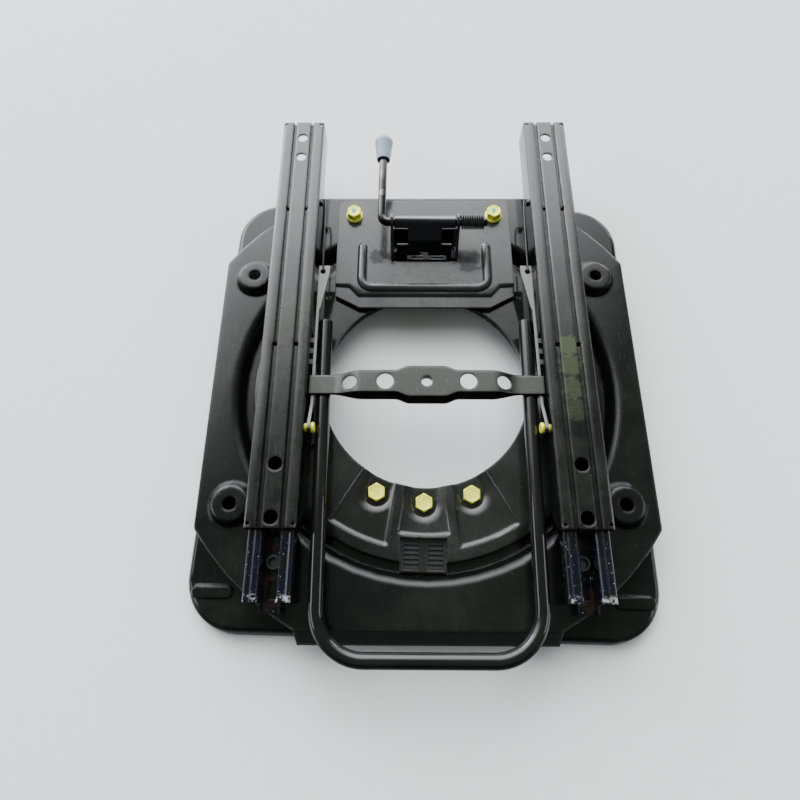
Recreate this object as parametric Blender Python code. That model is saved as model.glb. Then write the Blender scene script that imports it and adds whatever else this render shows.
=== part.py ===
"""Swivel base for a vehicle seat: a pressed base plate, a turning plate held on it by a bolted ring,
a lock lever, and a pair of seat slides with their towel-bar release handle.

Lengths are metres. The swivel axis is the Z axis of the empty swivel_axis, +Y points to the seat's
rear, and the base plate's rim stands on z = 0.
"""

import math

import bmesh
import bpy
from mathutils import Matrix, Vector

for old in list(bpy.data.objects):
    bpy.data.objects.remove(old)

MM = 0.001

# Fits
SEAT_GAP = 0.3 * MM
PIN_CLEARANCE = 0.3 * MM
SCREW_CLEARANCE = 0.4 * MM
WIRE_CLEARANCE = 1.7 * MM

# Hub of the base plate: the bearing, the turning plate and the slides are all sized from its hole
HUB_HOLE_R = 109.5 * MM
HUB_LAND = 39.5 * MM
HUB_SLOPE = 4.5 * MM
HUB_R = HUB_HOLE_R + HUB_LAND

# Retaining ring
RING_OVERHANG = 3.1 * MM
RING_LIP = 30.5 * MM
RING_SHEET = 3.0 * MM
RING_HOLE_R = HUB_HOLE_R - RING_OVERHANG
RING_R = HUB_R + RING_LIP
RING_CROWN = (3.9 * MM, 5.7 * MM, 3.2 * MM)
PETAL_MARGIN = 11.5 * MM
PETAL_R = RING_R - PETAL_MARGIN
PETAL_DEPTH = 2.2 * MM
PETAL_SLOPE = 5.0 * MM
PETAL_EDGE = 1.8
PETAL_EDGES = (((-35.4, -15.2), (-33.5, -11.6)), ((-10.6, 10.6), (-9.9, 9.9)), ((15.2, 35.4), (11.6, 33.5)))
EASE = ((0.0, -0.1), (0.3, 0.45), (0.65, 0.85), (1.0, 1.0))
BOLT_CIRCLE_R = HUB_HOLE_R + 12.0 * MM
BOLT_STEP = 22.5
BOLT_FLATS = 16.5 * MM
BOLT_HEAD = 6.0 * MM
BOLT_R = 5.0 * MM
POCKET_R = BOLT_FLATS * 0.5 + 3.0 * MM
POCKET_FLARE = 7.5 * MM
POCKET_FLOOR = 1.8 * MM
WELD_NUT = 8.0 * MM
SITE_LENGTH = 31.0 * MM
SITE_LIP = 7.0 * MM
SITE_R = (RING_R + SITE_LIP - SITE_LENGTH, RING_R + SITE_LIP)
SITE_HALF_WIDTH = 22.5 * MM
LOCK_WINDOW = (14.5 * MM, 25.0 * MM)
LOCK_WEB = 9.0 * MM
PAD_RIBS = 6
PAD_RIB_HEIGHT = 1.6 * MM

# Turning plate: a disc with its sides and ends folded down
PLATE_SHEET = 2.5 * MM
LIP_CLEARANCE = 3.5 * MM
LIP_R = HUB_R + HUB_SLOPE + LIP_CLEARANCE
WELL_MARGIN = 22.0 * MM
WELL_R = RING_R + WELL_MARGIN
WELL_FOLD_R = 8.0 * MM
WELL_SLANT = 64.0
WELL_DEPTH = 15.5 * MM
SIDE_LAND = 20.0 * MM
END_LAND = 36.0 * MM
PLATE_HALF_WIDTH = WELL_R + SIDE_LAND
PLATE_HALF_LENGTH = WELL_R + END_LAND
PLATE_ROUND = 28.5 * MM
PLATE_R = PLATE_HALF_LENGTH + PLATE_ROUND
SIDE_FLANGE = (1.0 * MM, 17.0 * MM)
END_FLANGE = (12.0 * MM, 14.5 * MM)
BOSS_BASE_R = 22.2 * MM
BOSS_TOP_R = 17.0 * MM
BOSS_HEIGHT = 9.0 * MM
BOSS_HOLE_R = 6.5 * MM
BOSS_CLEARANCE = 1.5 * MM
BOSS_TURN = math.radians(33.87)
BOSS_X = (WELL_R + BOSS_BASE_R + BOSS_CLEARANCE) * math.cos(BOSS_TURN)
BOSS_Y = (WELL_R + BOSS_BASE_R + BOSS_CLEARANCE) * math.sin(BOSS_TURN)

# Glide rings under and over the turning plate's lip
GLIDE_LOWER = 2.9 * MM
GLIDE_UPPER = 1.4 * MM
GLIDE_INSET = 3.0 * MM
GLIDE_LOWER_R = (LIP_R + GLIDE_INSET, RING_R + 1.5 * GLIDE_INSET)
GLIDE_UPPER_R = (LIP_R + GLIDE_INSET, RING_R - GLIDE_INSET)

# Base plate and its play in the lock
BASE_MARGIN = (3.5 * MM, 6.0 * MM)
BASE_HALF_WIDTH = PLATE_HALF_WIDTH + BASE_MARGIN[0]
BASE_HALF_LENGTH = PLATE_HALF_LENGTH + BASE_MARGIN[1]
BASE_CORNER_R = 50.0 * MM
BASE_SHEET = 3.0 * MM
BASE_DEPTH = 16.5 * MM
BASE_FLARE = 2.0 * MM
BASE_SHOULDER = 7.0 * MM
LOCK_PLAY = math.radians(-1.2)
BEAD_SIZE = (40.0 * MM, 13.0 * MM)
BEAD_HEIGHT = 2.2 * MM
BEAD_INSET = (26.5 * MM, 35.5 * MM)

# Seat slides, between the bosses
RAIL_HALF_WIDTH = 23.85 * MM
RAIL_TO_BOSS = 0.3 * MM
RAIL_X = BOSS_X - BOSS_BASE_R - RAIL_TO_BOSS - RAIL_HALF_WIDTH
RAIL_HEIGHT = 35.0 * MM
RAIL_SHEET = 2.0 * MM
RAIL_END = 14.5 * MM
RAIL_REACH = 9.0 * MM
LOWER_RAIL_FRONT = RAIL_END - PLATE_HALF_LENGTH
LOWER_RAIL_REAR = PLATE_HALF_LENGTH + RAIL_REACH
SLIDE_AT_REST = 71.0 * MM
RAIL_FRONT = LOWER_RAIL_FRONT + SLIDE_AT_REST
RAIL_REAR = LOWER_RAIL_REAR + SLIDE_AT_REST
LOWER_HALF_WIDTH = 21.0 * MM
LOWER_GAP_HALF = 8.0 * MM
LOWER_HEIGHT = RAIL_HEIGHT - 8.5 * MM
LIP_DROP = 12.5 * MM
LIP_TRIM = 9.0 * MM
STUB_HEIGHT = 11.0 * MM
TRACK_DEPTH = 1.1 * MM
HOOK_AT = 13.0 * MM
HOOK_FLOOR = 4.0 * MM
HOOK_TOP = LOWER_HEIGHT - 6.5 * MM
GROOVE_AT = 7.6 * MM
GROOVE_WIDTH = 5.6 * MM
GROOVE_REAR_WIDTH = 4.6 * MM
GROOVE_DEPTH = 3.1 * MM
STOP_NOTCH = 4.0 * MM
REAR_HOLES = (RAIL_REAR - 23.5 * MM, RAIL_REAR - 51.5 * MM)
REAR_HOLE_R = 5.5 * MM
FRONT_HOLES = (RAIL_FRONT + 58.5 * MM, RAIL_FRONT + 9.5 * MM)
FRONT_HOLE_R = 6.5 * MM
DRIP_HOLE_R = 1.8 * MM
DRIP_HOLE_INSET = (3.6 * MM, 4.0 * MM)
RAIL_SCREW_Y = PLATE_HALF_LENGTH - 58.5 * MM
RAIL_SCREW_R = 4.0 * MM
RAIL_SCREW_FLATS = 13.0 * MM
RAIL_SCREW_HEAD = 5.0 * MM
RAIL_NUT_R = 7.4 * MM
RAIL_NUT_HEIGHT = 6.5 * MM
FLOOR_SLOT = (9.0 * MM, 15.0 * MM)
FLOOR_SLOT_INSET = 20.0 * MM
LATCH_PITCH = 12.0 * MM
LATCH_SLOTS = 15
BALL_R = 2.9 * MM
CAGE_LENGTH = (LOWER_RAIL_REAR - LOWER_RAIL_FRONT) * 0.53
CAGE_STRIP = (5.0 * MM, 1.0 * MM)

# Lock lever: its axis lies just behind the ring's windows
TONGUE_REACH = 14.0 * MM
ROD_SETBACK = 4.6 * MM
ROD_Y = (SITE_R[0] + SITE_R[1]) / 2 + ROD_SETBACK
ROD_R = 4.5 * MM
ROD_HEIGHT = 35.0 * MM
ROD_BEND_R = 9.0 * MM
HANDLE_LENGTH = 78.0 * MM
HANDLE_RISE = math.radians(6)
HANDLE_LEAN = math.radians(1.0)
KNOB_LENGTH = 33.0 * MM
KNOB_R = 10.2 * MM
KNOB_NECK_R = 7.2 * MM
SLEEVE_R = 6.4 * MM
TONGUE_HALF_WIDTH = 18.5 * MM
PRONG_HALF_WIDTH = 31.0 * MM
TONGUE_SHEET = 3.0 * MM
TONGUE_BEND = 10.0 * MM
PRONG_LENGTH = 6.0 * MM
COIL_R = 7.0 * MM
COIL_WIRE_R = 0.95 * MM
COIL_TURNS = 10
COIL_LENGTH = 25.0 * MM

# Latch levers, towel bar and strap, all set inwards from the slides
LEVER_INSET = 5.75 * MM
LEVER_X = RAIL_X - RAIL_HALF_WIDTH - LEVER_INSET
LEVER_SHEET = 3.0 * MM
LEVER_FRONT_R = 8.0 * MM
LEVER_HEIGHT = 9.0 * MM
LEVER_TIP_HEIGHT = 5.0 * MM
LEVER_TAB_LENGTH = 50.0 * MM
LEVER_TAB_WIDTH = 12.0 * MM
TUBE_R = 7.0 * MM
TUBE_WALL = 1.6 * MM
TUBE_HEIGHT = TUBE_R + 9.0 * MM
TUBE_REAR_X = LEVER_X - TUBE_R
TUBE_TAPER = 5.1 * MM
TUBE_FRONT_X = TUBE_REAR_X - TUBE_TAPER
TUBE_BEND_R = 43.0 * MM
TUBE_OVERHANG = 22.3 * MM
TUBE_FRONT_Y = -PLATE_HALF_LENGTH - TUBE_OVERHANG
PIN_Y = RAIL_FRONT + 96.0 * MM
PIN_R = 4.0 * MM
PIN_HEAD_R = 5.2 * MM
PIN_HEAD = 3.0 * MM
PIN_HEIGHT = TUBE_HEIGHT + TUBE_R + PIN_HEAD_R - 2.2 * MM
LEVER_BEHIND_PIN = 184.0 * MM
LEVER_END_Y = PIN_Y + LEVER_BEHIND_PIN
LEVER_HOLE_Y = LEVER_END_Y - 7.5 * MM
TUBE_REAR_Y = LEVER_END_Y - 65.0 * MM
STRAP_Y = PIN_Y + 44.8 * MM
STRAP_SHEET = 2.4 * MM
STRAP_HALF_LENGTH = 12.0 * MM
STRAP_BULGE = (16.5 * MM, 17.0 * MM, 14.0 * MM)
STRAP_FLANGE = 8.5 * MM
STRAP_SIDE_GAP = 1.0 * MM
STRAP_END = RAIL_X - RAIL_HALF_WIDTH - STRAP_SIDE_GAP
SADDLE_FROM = TUBE_REAR_X - TUBE_R - 5.0 * MM
STRAP_FLAT_HALF = SADDLE_FROM * 0.7
STRAP_HOLES = ((0.0, 5.6 * MM), (SADDLE_FROM * 0.44, 8.4 * MM), (SADDLE_FROM * 0.82, 7.2 * MM))
COLLAR_R = 8.3 * MM
COLLAR_DEPTH = 8.0 * MM
TOOTH = 5.5 * MM
WINDOW_LENGTH = 40.0 * MM
WINDOW_BEHIND_PIN = 64.0 * MM
WINDOW_Y = (PIN_Y + WINDOW_BEHIND_PIN, PIN_Y + WINDOW_BEHIND_PIN + WINDOW_LENGTH)
WINDOW_Z = (8.0 * MM, 24.0 * MM)
GROOVE_STOPS = (PIN_Y + 85.5 * MM, RAIL_REAR - 122.5 * MM)
WIRE_R = 1.2 * MM
WIRE_HOOK_Y = RAIL_REAR - 105.5 * MM
HOOK_LUG = 2.5 * MM

# Lock plate, between the towel bar's legs
LOCK_SHEET = 3.0 * MM
LOCK_HALF_WIDTH = LEVER_X - LEVER_TAB_WIDTH - 0.5 * MM
LOCK_REAR_Y = PLATE_HALF_LENGTH - 6.5 * MM
LOCK_FRONT_Y = RING_HOLE_R - 17.0 * MM
LOCK_CORNER = (12.5 * MM, 27.0 * MM)
LOCK_CORNER_R = 6.0 * MM
LOCK_STEP = 3.2 * MM
LOCK_SHELF = (16.5 * MM, 13.5 * MM)
LOCK_SHELF_DROP = 0.2 * MM
LOCK_HEM = 2.6 * MM
LOCK_BOLT_X = LOCK_HALF_WIDTH - 18.5 * MM
LOCK_BOLT_Y = PLATE_HALF_LENGTH - 29.0 * MM
LOCK_BOLT_FLATS = 15.0 * MM
LOCK_BOLT_HEAD = 10.0 * MM
LOCK_BOLT_FLANGE_R = 9.8 * MM
LOCK_BOLT_R = 4.0 * MM
OPENING_HALF_WIDTH = TONGUE_HALF_WIDTH * 2
OPENING_Y = (ROD_Y - 28.6 * MM, ROD_Y + 15.4 * MM)
RIB_HALF_WIDTH = LOCK_BOLT_X - 10.5 * MM
RIB_Y = (LOCK_FRONT_Y + LOCK_SHELF[0] + 7.0 * MM, ROD_Y - 9.0 * MM)
RIB_R = 5.6 * MM
RIB_SINK = 1.6 * MM
RIB_CORNER_R = 12.0 * MM
EAR_SHEET = 3.0 * MM
EAR_R = 9.0 * MM
EAR_INSET = 3.0 * MM
ROD_END_X = LOCK_BOLT_X - 12.5 * MM
ROD_BEND_X = -OPENING_HALF_WIDTH - 10.4 * MM

# Heights that follow from the stack
BASE_TOP = BASE_DEPTH
LIP_BOTTOM = BASE_TOP + GLIDE_LOWER + 2 * SEAT_GAP
LIP_TOP = LIP_BOTTOM + PLATE_SHEET
RING_BOTTOM = LIP_TOP + GLIDE_UPPER + 2 * SEAT_GAP
RING_TOP = RING_BOTTOM + RING_SHEET
HUB_TOP = RING_BOTTOM - SEAT_GAP
PLATE_TOP = LIP_TOP + WELL_DEPTH
RAIL_FOOT = PLATE_TOP + SEAT_GAP
RAIL_TOP = RAIL_FOOT + RAIL_HEIGHT
LOCK_TOP = PLATE_TOP + SEAT_GAP + LOCK_SHEET
ROD_Z = PLATE_TOP + ROD_HEIGHT
TUBE_Z = PLATE_TOP + TUBE_HEIGHT
SADDLE_TOP = TUBE_Z + TUBE_R + SEAT_GAP + STRAP_SHEET
LEVER_TOP = SADDLE_TOP - STRAP_SHEET - SEAT_GAP
PIN_Z = PLATE_TOP + PIN_HEIGHT
CENTRE_Y = (RAIL_REAR + TUBE_FRONT_Y - TUBE_R) / 2
SIDES = (("left", -1), ("right", 1))


# Frames: an empty for the whole object and one on each joint's axis


def frame(name, place=(0.0, 0.0, 0.0), parent=None, turn=0.0):
    empty = bpy.data.objects.new(name, None)
    bpy.context.scene.collection.objects.link(empty)
    empty.location = Vector(place) - Vector(parent["place"] if parent else (0, 0, 0))
    empty.rotation_euler.z = turn
    empty.parent = parent
    empty["place"] = tuple(place)
    return empty


ORIGIN = frame("object_origin")
ORIGIN.location.y = -CENTRE_Y
SWIVEL = frame("swivel_axis", parent=ORIGIN)
BASE = frame("base_frame", parent=ORIGIN, turn=LOCK_PLAY)
LEVER_AXIS = frame("lock_lever_axis", (0, ROD_Y, ROD_Z), SWIVEL)
SLIDE = frame("slide_axis", (0, (RAIL_FRONT + RAIL_REAR) / 2, RAIL_TOP), SWIVEL)
CAGES = frame("cage_axis", (0, (RAIL_FRONT + RAIL_REAR - SLIDE_AT_REST) / 2, RAIL_TOP), SWIVEL)
BAR_AXIS = frame("towel_bar_axis", (0, PIN_Y, PIN_Z), SLIDE)


# Materials


def finish(name, colour, roughness, metallic=0.0):
    made = bpy.data.materials.new(name)
    made.use_nodes = True
    shader = made.node_tree.nodes["Principled BSDF"]
    shader.inputs["Base Color"].default_value = (*colour, 1.0)
    shader.inputs["Roughness"].default_value = roughness
    shader.inputs["Metallic"].default_value = metallic
    return made


BLACK_PAINT = finish("black_paint", (0.012, 0.013, 0.012), 0.28)
BLACK_OXIDE = finish("black_oxide", (0.02, 0.02, 0.02), 0.4, 0.6)
YELLOW_ZINC = finish("yellow_zinc", (0.62, 0.52, 0.24), 0.3, 0.9)
SPRING_STEEL = finish("spring_steel", (0.06, 0.06, 0.065), 0.35, 0.8)
GREY_PLASTIC = finish("grey_plastic", (0.2, 0.23, 0.26), 0.45)
GLIDE_PLASTIC = finish("glide_plastic", (0.03, 0.03, 0.035), 0.5)
RUBBER_PAD = finish("black_rubber", (0.015, 0.015, 0.015), 0.6)
BALL_STEEL = finish("ball_steel", (0.55, 0.55, 0.56), 0.2, 1.0)


# Shapes: every one is a list of points and a list of faces


def lofted(loops, ring=False):
    """Closed skin over loops that have the same number of points: a ring of loops, or capped at both ends."""
    count = len(loops[0])
    points = [point for loop in loops for point in loop]
    last = len(loops) if ring else len(loops) - 1
    faces = []
    for i in range(last):
        here, there = i * count, (i + 1) % len(loops) * count
        for j in range(count):
            k = (j + 1) % count
            faces.append((here + j, here + k, there + k, there + j))
    if not ring:
        faces.append(tuple(range(count))[::-1])
        faces.append(tuple((len(loops) - 1) * count + j for j in range(count)))
    return points, faces


def circle(radius, count, centre=(0.0, 0.0), start=0.0):
    steps = [start + 2 * math.pi * j / count for j in range(count)]
    return [(centre[0] + radius * math.cos(a), centre[1] + radius * math.sin(a)) for a in steps]


def at_height(outline, z):
    return [(x, y, z) for x, y in outline]


def prism(outline, low, high):
    return lofted([at_height(outline, low), at_height(outline, high)])


def box(low, high):
    outline = [(low[0], low[1]), (high[0], low[1]), (high[0], high[1]), (low[0], high[1])]
    return prism(outline, low[2], high[2])


def cylinder(radius, low, high, centre=(0.0, 0.0), count=16):
    return prism(circle(radius, count, centre), low, high)


def along_x(outline, low, high):
    """Prism of a (y, z) outline between two values of x."""
    return lofted([[(x, y, z) for y, z in outline] for x in (low, high)])


def turned(profile, count, axis=Matrix.Identity(4)):
    """Revolve (radius, height) pairs about Z, then place the result by a matrix."""
    loops = [at_height(circle(radius, count), z) for radius, z in profile]
    return placed(lofted(loops), axis)


def placed(shape, matrix):
    points, faces = shape
    return [tuple(matrix @ Vector(point)) for point in points], faces


def together(shapes):
    points, faces = [], []
    for more_points, more_faces in shapes:
        faces += [tuple(i + len(points) for i in face) for face in more_faces]
        points += more_points
    return points, faces


def tube(path, radius, sides, bore=0.0):
    """Round bar along a path, or a tube where a bore is given. Its frame is carried along the path."""
    path = [Vector(point) for point in path]
    ends = [(path[min(i + 1, len(path) - 1)] - path[max(i - 1, 0)]).normalized() for i in range(len(path))]
    across = ends[0].orthogonal().normalized()
    outer, inner = [], []
    for i, (point, tangent) in enumerate(zip(path, ends)):
        across = (across - tangent * across.dot(tangent)).normalized()
        side = tangent.cross(across)
        stretch = 1.0
        if 0 < i < len(path) - 1:
            stretch = 1 / max(0.5, (path[i + 1] - point).normalized().dot(tangent))
        lean = (ends[min(i + 1, len(path) - 1)] - ends[max(i - 1, 0)])
        lean = lean.normalized() if lean.length > 1e-9 else Vector()
        loops = ((outer, radius), (inner, bore))
        for loop, size in loops:
            turns = []
            for j in range(sides):
                angle = 2 * math.pi * j / sides
                offset = across * math.cos(angle) + side * math.sin(angle)
                offset += lean * offset.dot(lean) * (stretch - 1)
                turns.append(tuple(point + offset * size))
            loop.append(turns)
    return lofted(outer + inner[::-1], ring=True) if bore else lofted(outer)


def arc(centre, radius, start, stop, steps):
    """Points on an arc in a plane, from start to stop in degrees."""
    span = [math.radians(start + (stop - start) * i / steps) for i in range(steps + 1)]
    return [(centre[0] + radius * math.cos(a), centre[1] + radius * math.sin(a)) for a in span]


def solid(name, shape, material, parent):
    points, faces = shape
    place = Vector(parent["place"])
    mesh = bpy.data.meshes.new(name)
    mesh.from_pydata([tuple(Vector(point) - place) for point in points], [], faces)
    work = bmesh.new()
    work.from_mesh(mesh)
    bmesh.ops.recalc_face_normals(work, faces=work.faces)
    work.to_mesh(mesh)
    work.free()
    mesh.materials.append(material)
    made = bpy.data.objects.new(name, mesh)
    bpy.context.scene.collection.objects.link(made)
    made.parent = parent
    return made


def tool(target, operation, shape):
    """Boolean on a piece by a hidden helper that shares its parent."""
    helper = solid(f"{target.name}_{operation.lower()}_{len(target.modifiers)}", shape, BLACK_PAINT, target.parent)
    helper.hide_render = True
    helper.display_type = "WIRE"
    cut = target.modifiers.new(operation.title(), "BOOLEAN")
    cut.operation = operation
    cut.solver = "EXACT"
    cut.object = helper


def join(target, helper):
    """Boolean union with a piece that has its own cuts, hidden afterwards."""
    helper.hide_render = True
    helper.display_type = "WIRE"
    union = target.modifiers.new("Union", "BOOLEAN")
    union.operation = "UNION"
    union.solver = "EXACT"
    union.object = helper


def smooth(target, degrees=35.0):
    target.data.shade_smooth()
    target.data.set_sharp_from_angle(angle=math.radians(degrees))


# Base plate: polar loft from the hub's hole out over the rim and back underneath


def rounded_reach(angle, half_x, half_y, corner):
    """Distance from the centre to a rounded rectangle's edge at an angle."""
    c, s = abs(math.cos(angle)), abs(math.sin(angle))
    reach = min(half_x / c if c > 1e-9 else math.inf, half_y / s if s > 1e-9 else math.inf)
    centre_x, centre_y = half_x - corner, half_y - corner
    if reach * c <= centre_x or reach * s <= centre_y:
        return reach
    along = centre_x * c + centre_y * s
    return along + math.sqrt(max(0.0, corner**2 - (centre_x * s - centre_y * c) ** 2))


def base_plate():
    turns = [math.atan2(BASE_HALF_LENGTH - BASE_CORNER_R, BASE_HALF_WIDTH)]
    turns.append(math.atan2(BASE_HALF_LENGTH, BASE_HALF_WIDTH - BASE_CORNER_R))
    quadrant = [turns[0] * i / 6 for i in range(6)]
    quadrant += [turns[0] + (turns[1] - turns[0]) * i / 12 for i in range(12)]
    quadrant += [turns[1] + (math.pi / 2 - turns[1]) * i / 6 for i in range(7)]
    upper = quadrant + [math.pi - a for a in reversed(quadrant[:-1])]
    angles = upper + [a + math.pi for a in upper[1:-1]]

    def round_loop(radius, z):
        return [(radius * math.cos(a), radius * math.sin(a), z) for a in angles]

    def rim_loop(inset, z):
        loop = []
        for a in angles:
            reach = rounded_reach(
                a, BASE_HALF_WIDTH - inset, BASE_HALF_LENGTH - inset, BASE_CORNER_R - inset
            )
            loop.append((reach * math.cos(a), reach * math.sin(a), z))
        return loop

    under = BASE_TOP - BASE_SHEET
    loops = [
        round_loop(HUB_HOLE_R, HUB_TOP),
        round_loop(HUB_R, HUB_TOP),
        round_loop(HUB_R + HUB_SLOPE, BASE_TOP),
        rim_loop(BASE_SHOULDER, BASE_TOP),
        rim_loop(BASE_SHOULDER * 0.5, BASE_TOP - BASE_SHOULDER * 0.13),
        rim_loop(BASE_SHOULDER * 0.13, BASE_TOP - BASE_SHOULDER * 0.5),
        rim_loop(0.0, BASE_TOP - BASE_SHOULDER),
        rim_loop(-BASE_FLARE, 0.0),
        rim_loop(BASE_SHEET - BASE_FLARE, 0.0),
        rim_loop(BASE_SHEET, BASE_TOP - BASE_SHOULDER),
        rim_loop(BASE_SHOULDER, under),
        round_loop(HUB_R + HUB_SLOPE - BASE_SHEET * 0.6, under),
        round_loop(HUB_R - BASE_SHEET * 0.6, HUB_TOP - BASE_SHEET),
        round_loop(HUB_HOLE_R, HUB_TOP - BASE_SHEET),
    ]
    plate = solid("base_plate", lofted(loops, ring=True), BLACK_PAINT, BASE)

    beads = []
    for _, side in SIDES:
        centre = (side * (BASE_HALF_WIDTH - BEAD_INSET[0]), -(BASE_HALF_LENGTH - BEAD_INSET[1]))
        levels = [(0.0, BASE_TOP - SEAT_GAP), (0.0, BASE_TOP + SEAT_GAP)]
        levels += [(BEAD_HEIGHT * 0.5, BASE_TOP + BEAD_HEIGHT * 0.75), (BEAD_HEIGHT * 1.4, BASE_TOP + BEAD_HEIGHT)]
        oval = []
        for inset, z in levels:
            half_length = BEAD_SIZE[0] / 2 - inset
            half_width = BEAD_SIZE[1] / 2 - inset
            straight = half_length - half_width
            right = arc((centre[0] + straight, centre[1]), half_width, -90, 90, 6)
            left = arc((centre[0] - straight, centre[1]), half_width, 90, 270, 6)
            oval.append(at_height(right + left, z))
        beads.append(lofted(oval))
    tool(plate, "UNION", together(beads))

    nuts = []
    for x, y in ring_bolt_places():
        outline = circle(BOLT_FLATS / math.sqrt(3), 6, (x, y))
        nuts.append(prism(outline, HUB_TOP - BASE_SHEET - WELD_NUT, HUB_TOP - BASE_SHEET + SEAT_GAP))
    tool(plate, "UNION", together(nuts))
    holes = []
    for place in ring_bolt_places():
        holes.append(cylinder(BOLT_R + SCREW_CLEARANCE, 0.0, RING_TOP, place, 12))
    tool(plate, "DIFFERENCE", together(holes))
    smooth(plate)


def ring_bolt_places():
    """Three bolts at the front and three at the rear of the ring."""
    places = []
    for middle in (-90.0, 90.0):
        for step in (-1, 0, 1):
            a = math.radians(middle + step * BOLT_STEP)
            places.append((BOLT_CIRCLE_R * math.cos(a), BOLT_CIRCLE_R * math.sin(a)))
    return places


# Retaining ring: flat ring, raised petals with bolt pockets, and the lock windows


def crown(radius):
    """Height of the ring's slightly conical top, highest outside its petals."""
    share = (radius - RING_HOLE_R) / (PETAL_R - RING_HOLE_R)
    return RING_TOP + RING_CROWN[0] + (RING_CROWN[1] - RING_CROWN[0]) * share


def petal(middle, inner, outer, reach):
    """Cutter for one pressed petal: a shallow tray, open to the hole, whose profile turns from side to side."""
    low, over = RING_HOLE_R - RING_SHEET, PLATE_TOP
    turns = [(PETAL_EDGE * share, depth) for share, depth in EASE]
    stations = [(inner[0] + t, outer[0] + t, depth) for t, depth in turns]
    stations += [
        (inner[0] + (inner[1] - inner[0]) * i / 6, outer[0] + (outer[1] - outer[0]) * i / 6, 1.0) for i in range(1, 6)
    ]
    stations += [(inner[1] - t, outer[1] - t, depth) for t, depth in reversed(turns)]
    sections = []
    for turn_in, turn_out, share in stations:
        a, b = math.radians(middle + turn_in), math.radians(middle + turn_out)
        start, end = Vector((math.cos(a) * low, math.sin(a) * low)), Vector((math.cos(b) * reach, math.sin(b) * reach))
        length = (end - start).length
        profile = [(0.0, over), (length, over)]
        for distance, depth in EASE:
            level = crown(reach - PETAL_SLOPE * distance) - PETAL_DEPTH * min(depth, depth * share if share > 0 else share)
            profile.append((length - PETAL_SLOPE * distance, level))
        profile.append((0.0, crown(low) - PETAL_DEPTH * share))
        sections.append([(*start.lerp(end, along / length), z) for along, z in profile])
    return lofted(sections)


def pocket(place, grow):
    """Outline of a bolt pocket: round at the bolt, open towards the hole."""
    x, y = place
    angle = math.atan2(y, x)
    radius = POCKET_R + grow
    outline = arc((0, 0), radius, -90, 90, 12)
    open_end = -(BOLT_CIRCLE_R - RING_HOLE_R) - POCKET_R
    outline += [(open_end, radius), (open_end, -radius)]
    turn = Matrix.Rotation(angle, 2)
    return [tuple(turn @ Vector(point) + Vector(place)) for point in outline]


def retaining_ring():
    count = 96
    edge = RING_SHEET * 0.3
    rim = RING_TOP + RING_CROWN[2]
    profile = [
        (RING_HOLE_R + edge, crown(RING_HOLE_R)),
        (PETAL_R + edge, crown(PETAL_R)),
        (PETAL_R + PETAL_MARGIN * 0.3, crown(PETAL_R) - edge * 0.3),
        (RING_R - edge * 2, rim + edge),
        (RING_R - edge * 0.5, rim),
        (RING_R, rim - edge),
        (RING_R, RING_BOTTOM),
        (RING_HOLE_R, RING_BOTTOM),
        (RING_HOLE_R, crown(RING_HOLE_R) - edge),
    ]
    loops = [at_height(circle(radius, count), z) for radius, z in profile]
    ring = solid("retaining_ring", lofted(loops, ring=True), BLACK_PAINT, BASE)

    sites, tabs, windows, pockets = [], [], [], []
    for middle in (-90.0, 90.0):
        for number, (inner, outer) in enumerate(PETAL_EDGES):
            reach = SITE_R[0] - edge if number == 1 else PETAL_R
            tool(ring, "DIFFERENCE", petal(middle, inner, outer, reach))
        facing = math.copysign(1.0, middle)
        y_low, y_high = sorted(facing * r for r in (SITE_R[0], RING_R + SITE_R[1]))
        sites.append(box((-SITE_HALF_WIDTH, y_low, RING_TOP), (SITE_HALF_WIDTH, y_high, PLATE_TOP)))
        y_low, y_high = sorted(facing * r for r in (RING_R - RING_SHEET * 2, SITE_R[1]))
        low = (-SITE_HALF_WIDTH + edge * 0.3, y_low, RING_BOTTOM + edge * 0.3)
        tabs.append(box(low, (SITE_HALF_WIDTH - edge * 0.3, y_high, RING_TOP - edge * 0.3)))
        windows += [box(*window_box(facing, side)) for _, side in SIDES]
    floor, top = RING_BOTTOM + POCKET_FLOOR, crown(BOLT_CIRCLE_R) - PETAL_DEPTH
    for place in ring_bolt_places():
        levels = [(0.0, floor), (edge * 0.5, floor + edge), (POCKET_FLARE * 0.35, floor + (top - floor) * 0.56)]
        levels += [(POCKET_FLARE * 0.68, floor + (top - floor) * 0.87), (POCKET_FLARE, top), (POCKET_FLARE * 1.5, top + edge)]
        pockets.append(lofted([at_height(pocket(place, grow), z) for grow, z in levels]))
    for cutter in pockets:
        tool(ring, "DIFFERENCE", cutter)
    tool(ring, "DIFFERENCE", together(sites))
    tool(ring, "UNION", together(tabs))
    holes = [cylinder(BOLT_R + SCREW_CLEARANCE, 0.0, PLATE_TOP, place, 12) for place in ring_bolt_places()]
    tool(ring, "DIFFERENCE", together(windows + holes))
    smooth(ring)


def window_box(facing, side, inset=0.0):
    """Corners of one lock window: facing is the end of the ring, side the side of the web."""
    x_low, x_high = sorted((side * (LOCK_WEB / 2 + inset), side * (LOCK_WEB / 2 + LOCK_WINDOW[0] - inset)))
    middle = facing * sum(SITE_R) / 2
    half = LOCK_WINDOW[1] / 2 - inset
    return (x_low, middle - half, RING_BOTTOM - RING_SHEET), (x_high, middle + half, PLATE_TOP)


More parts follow.
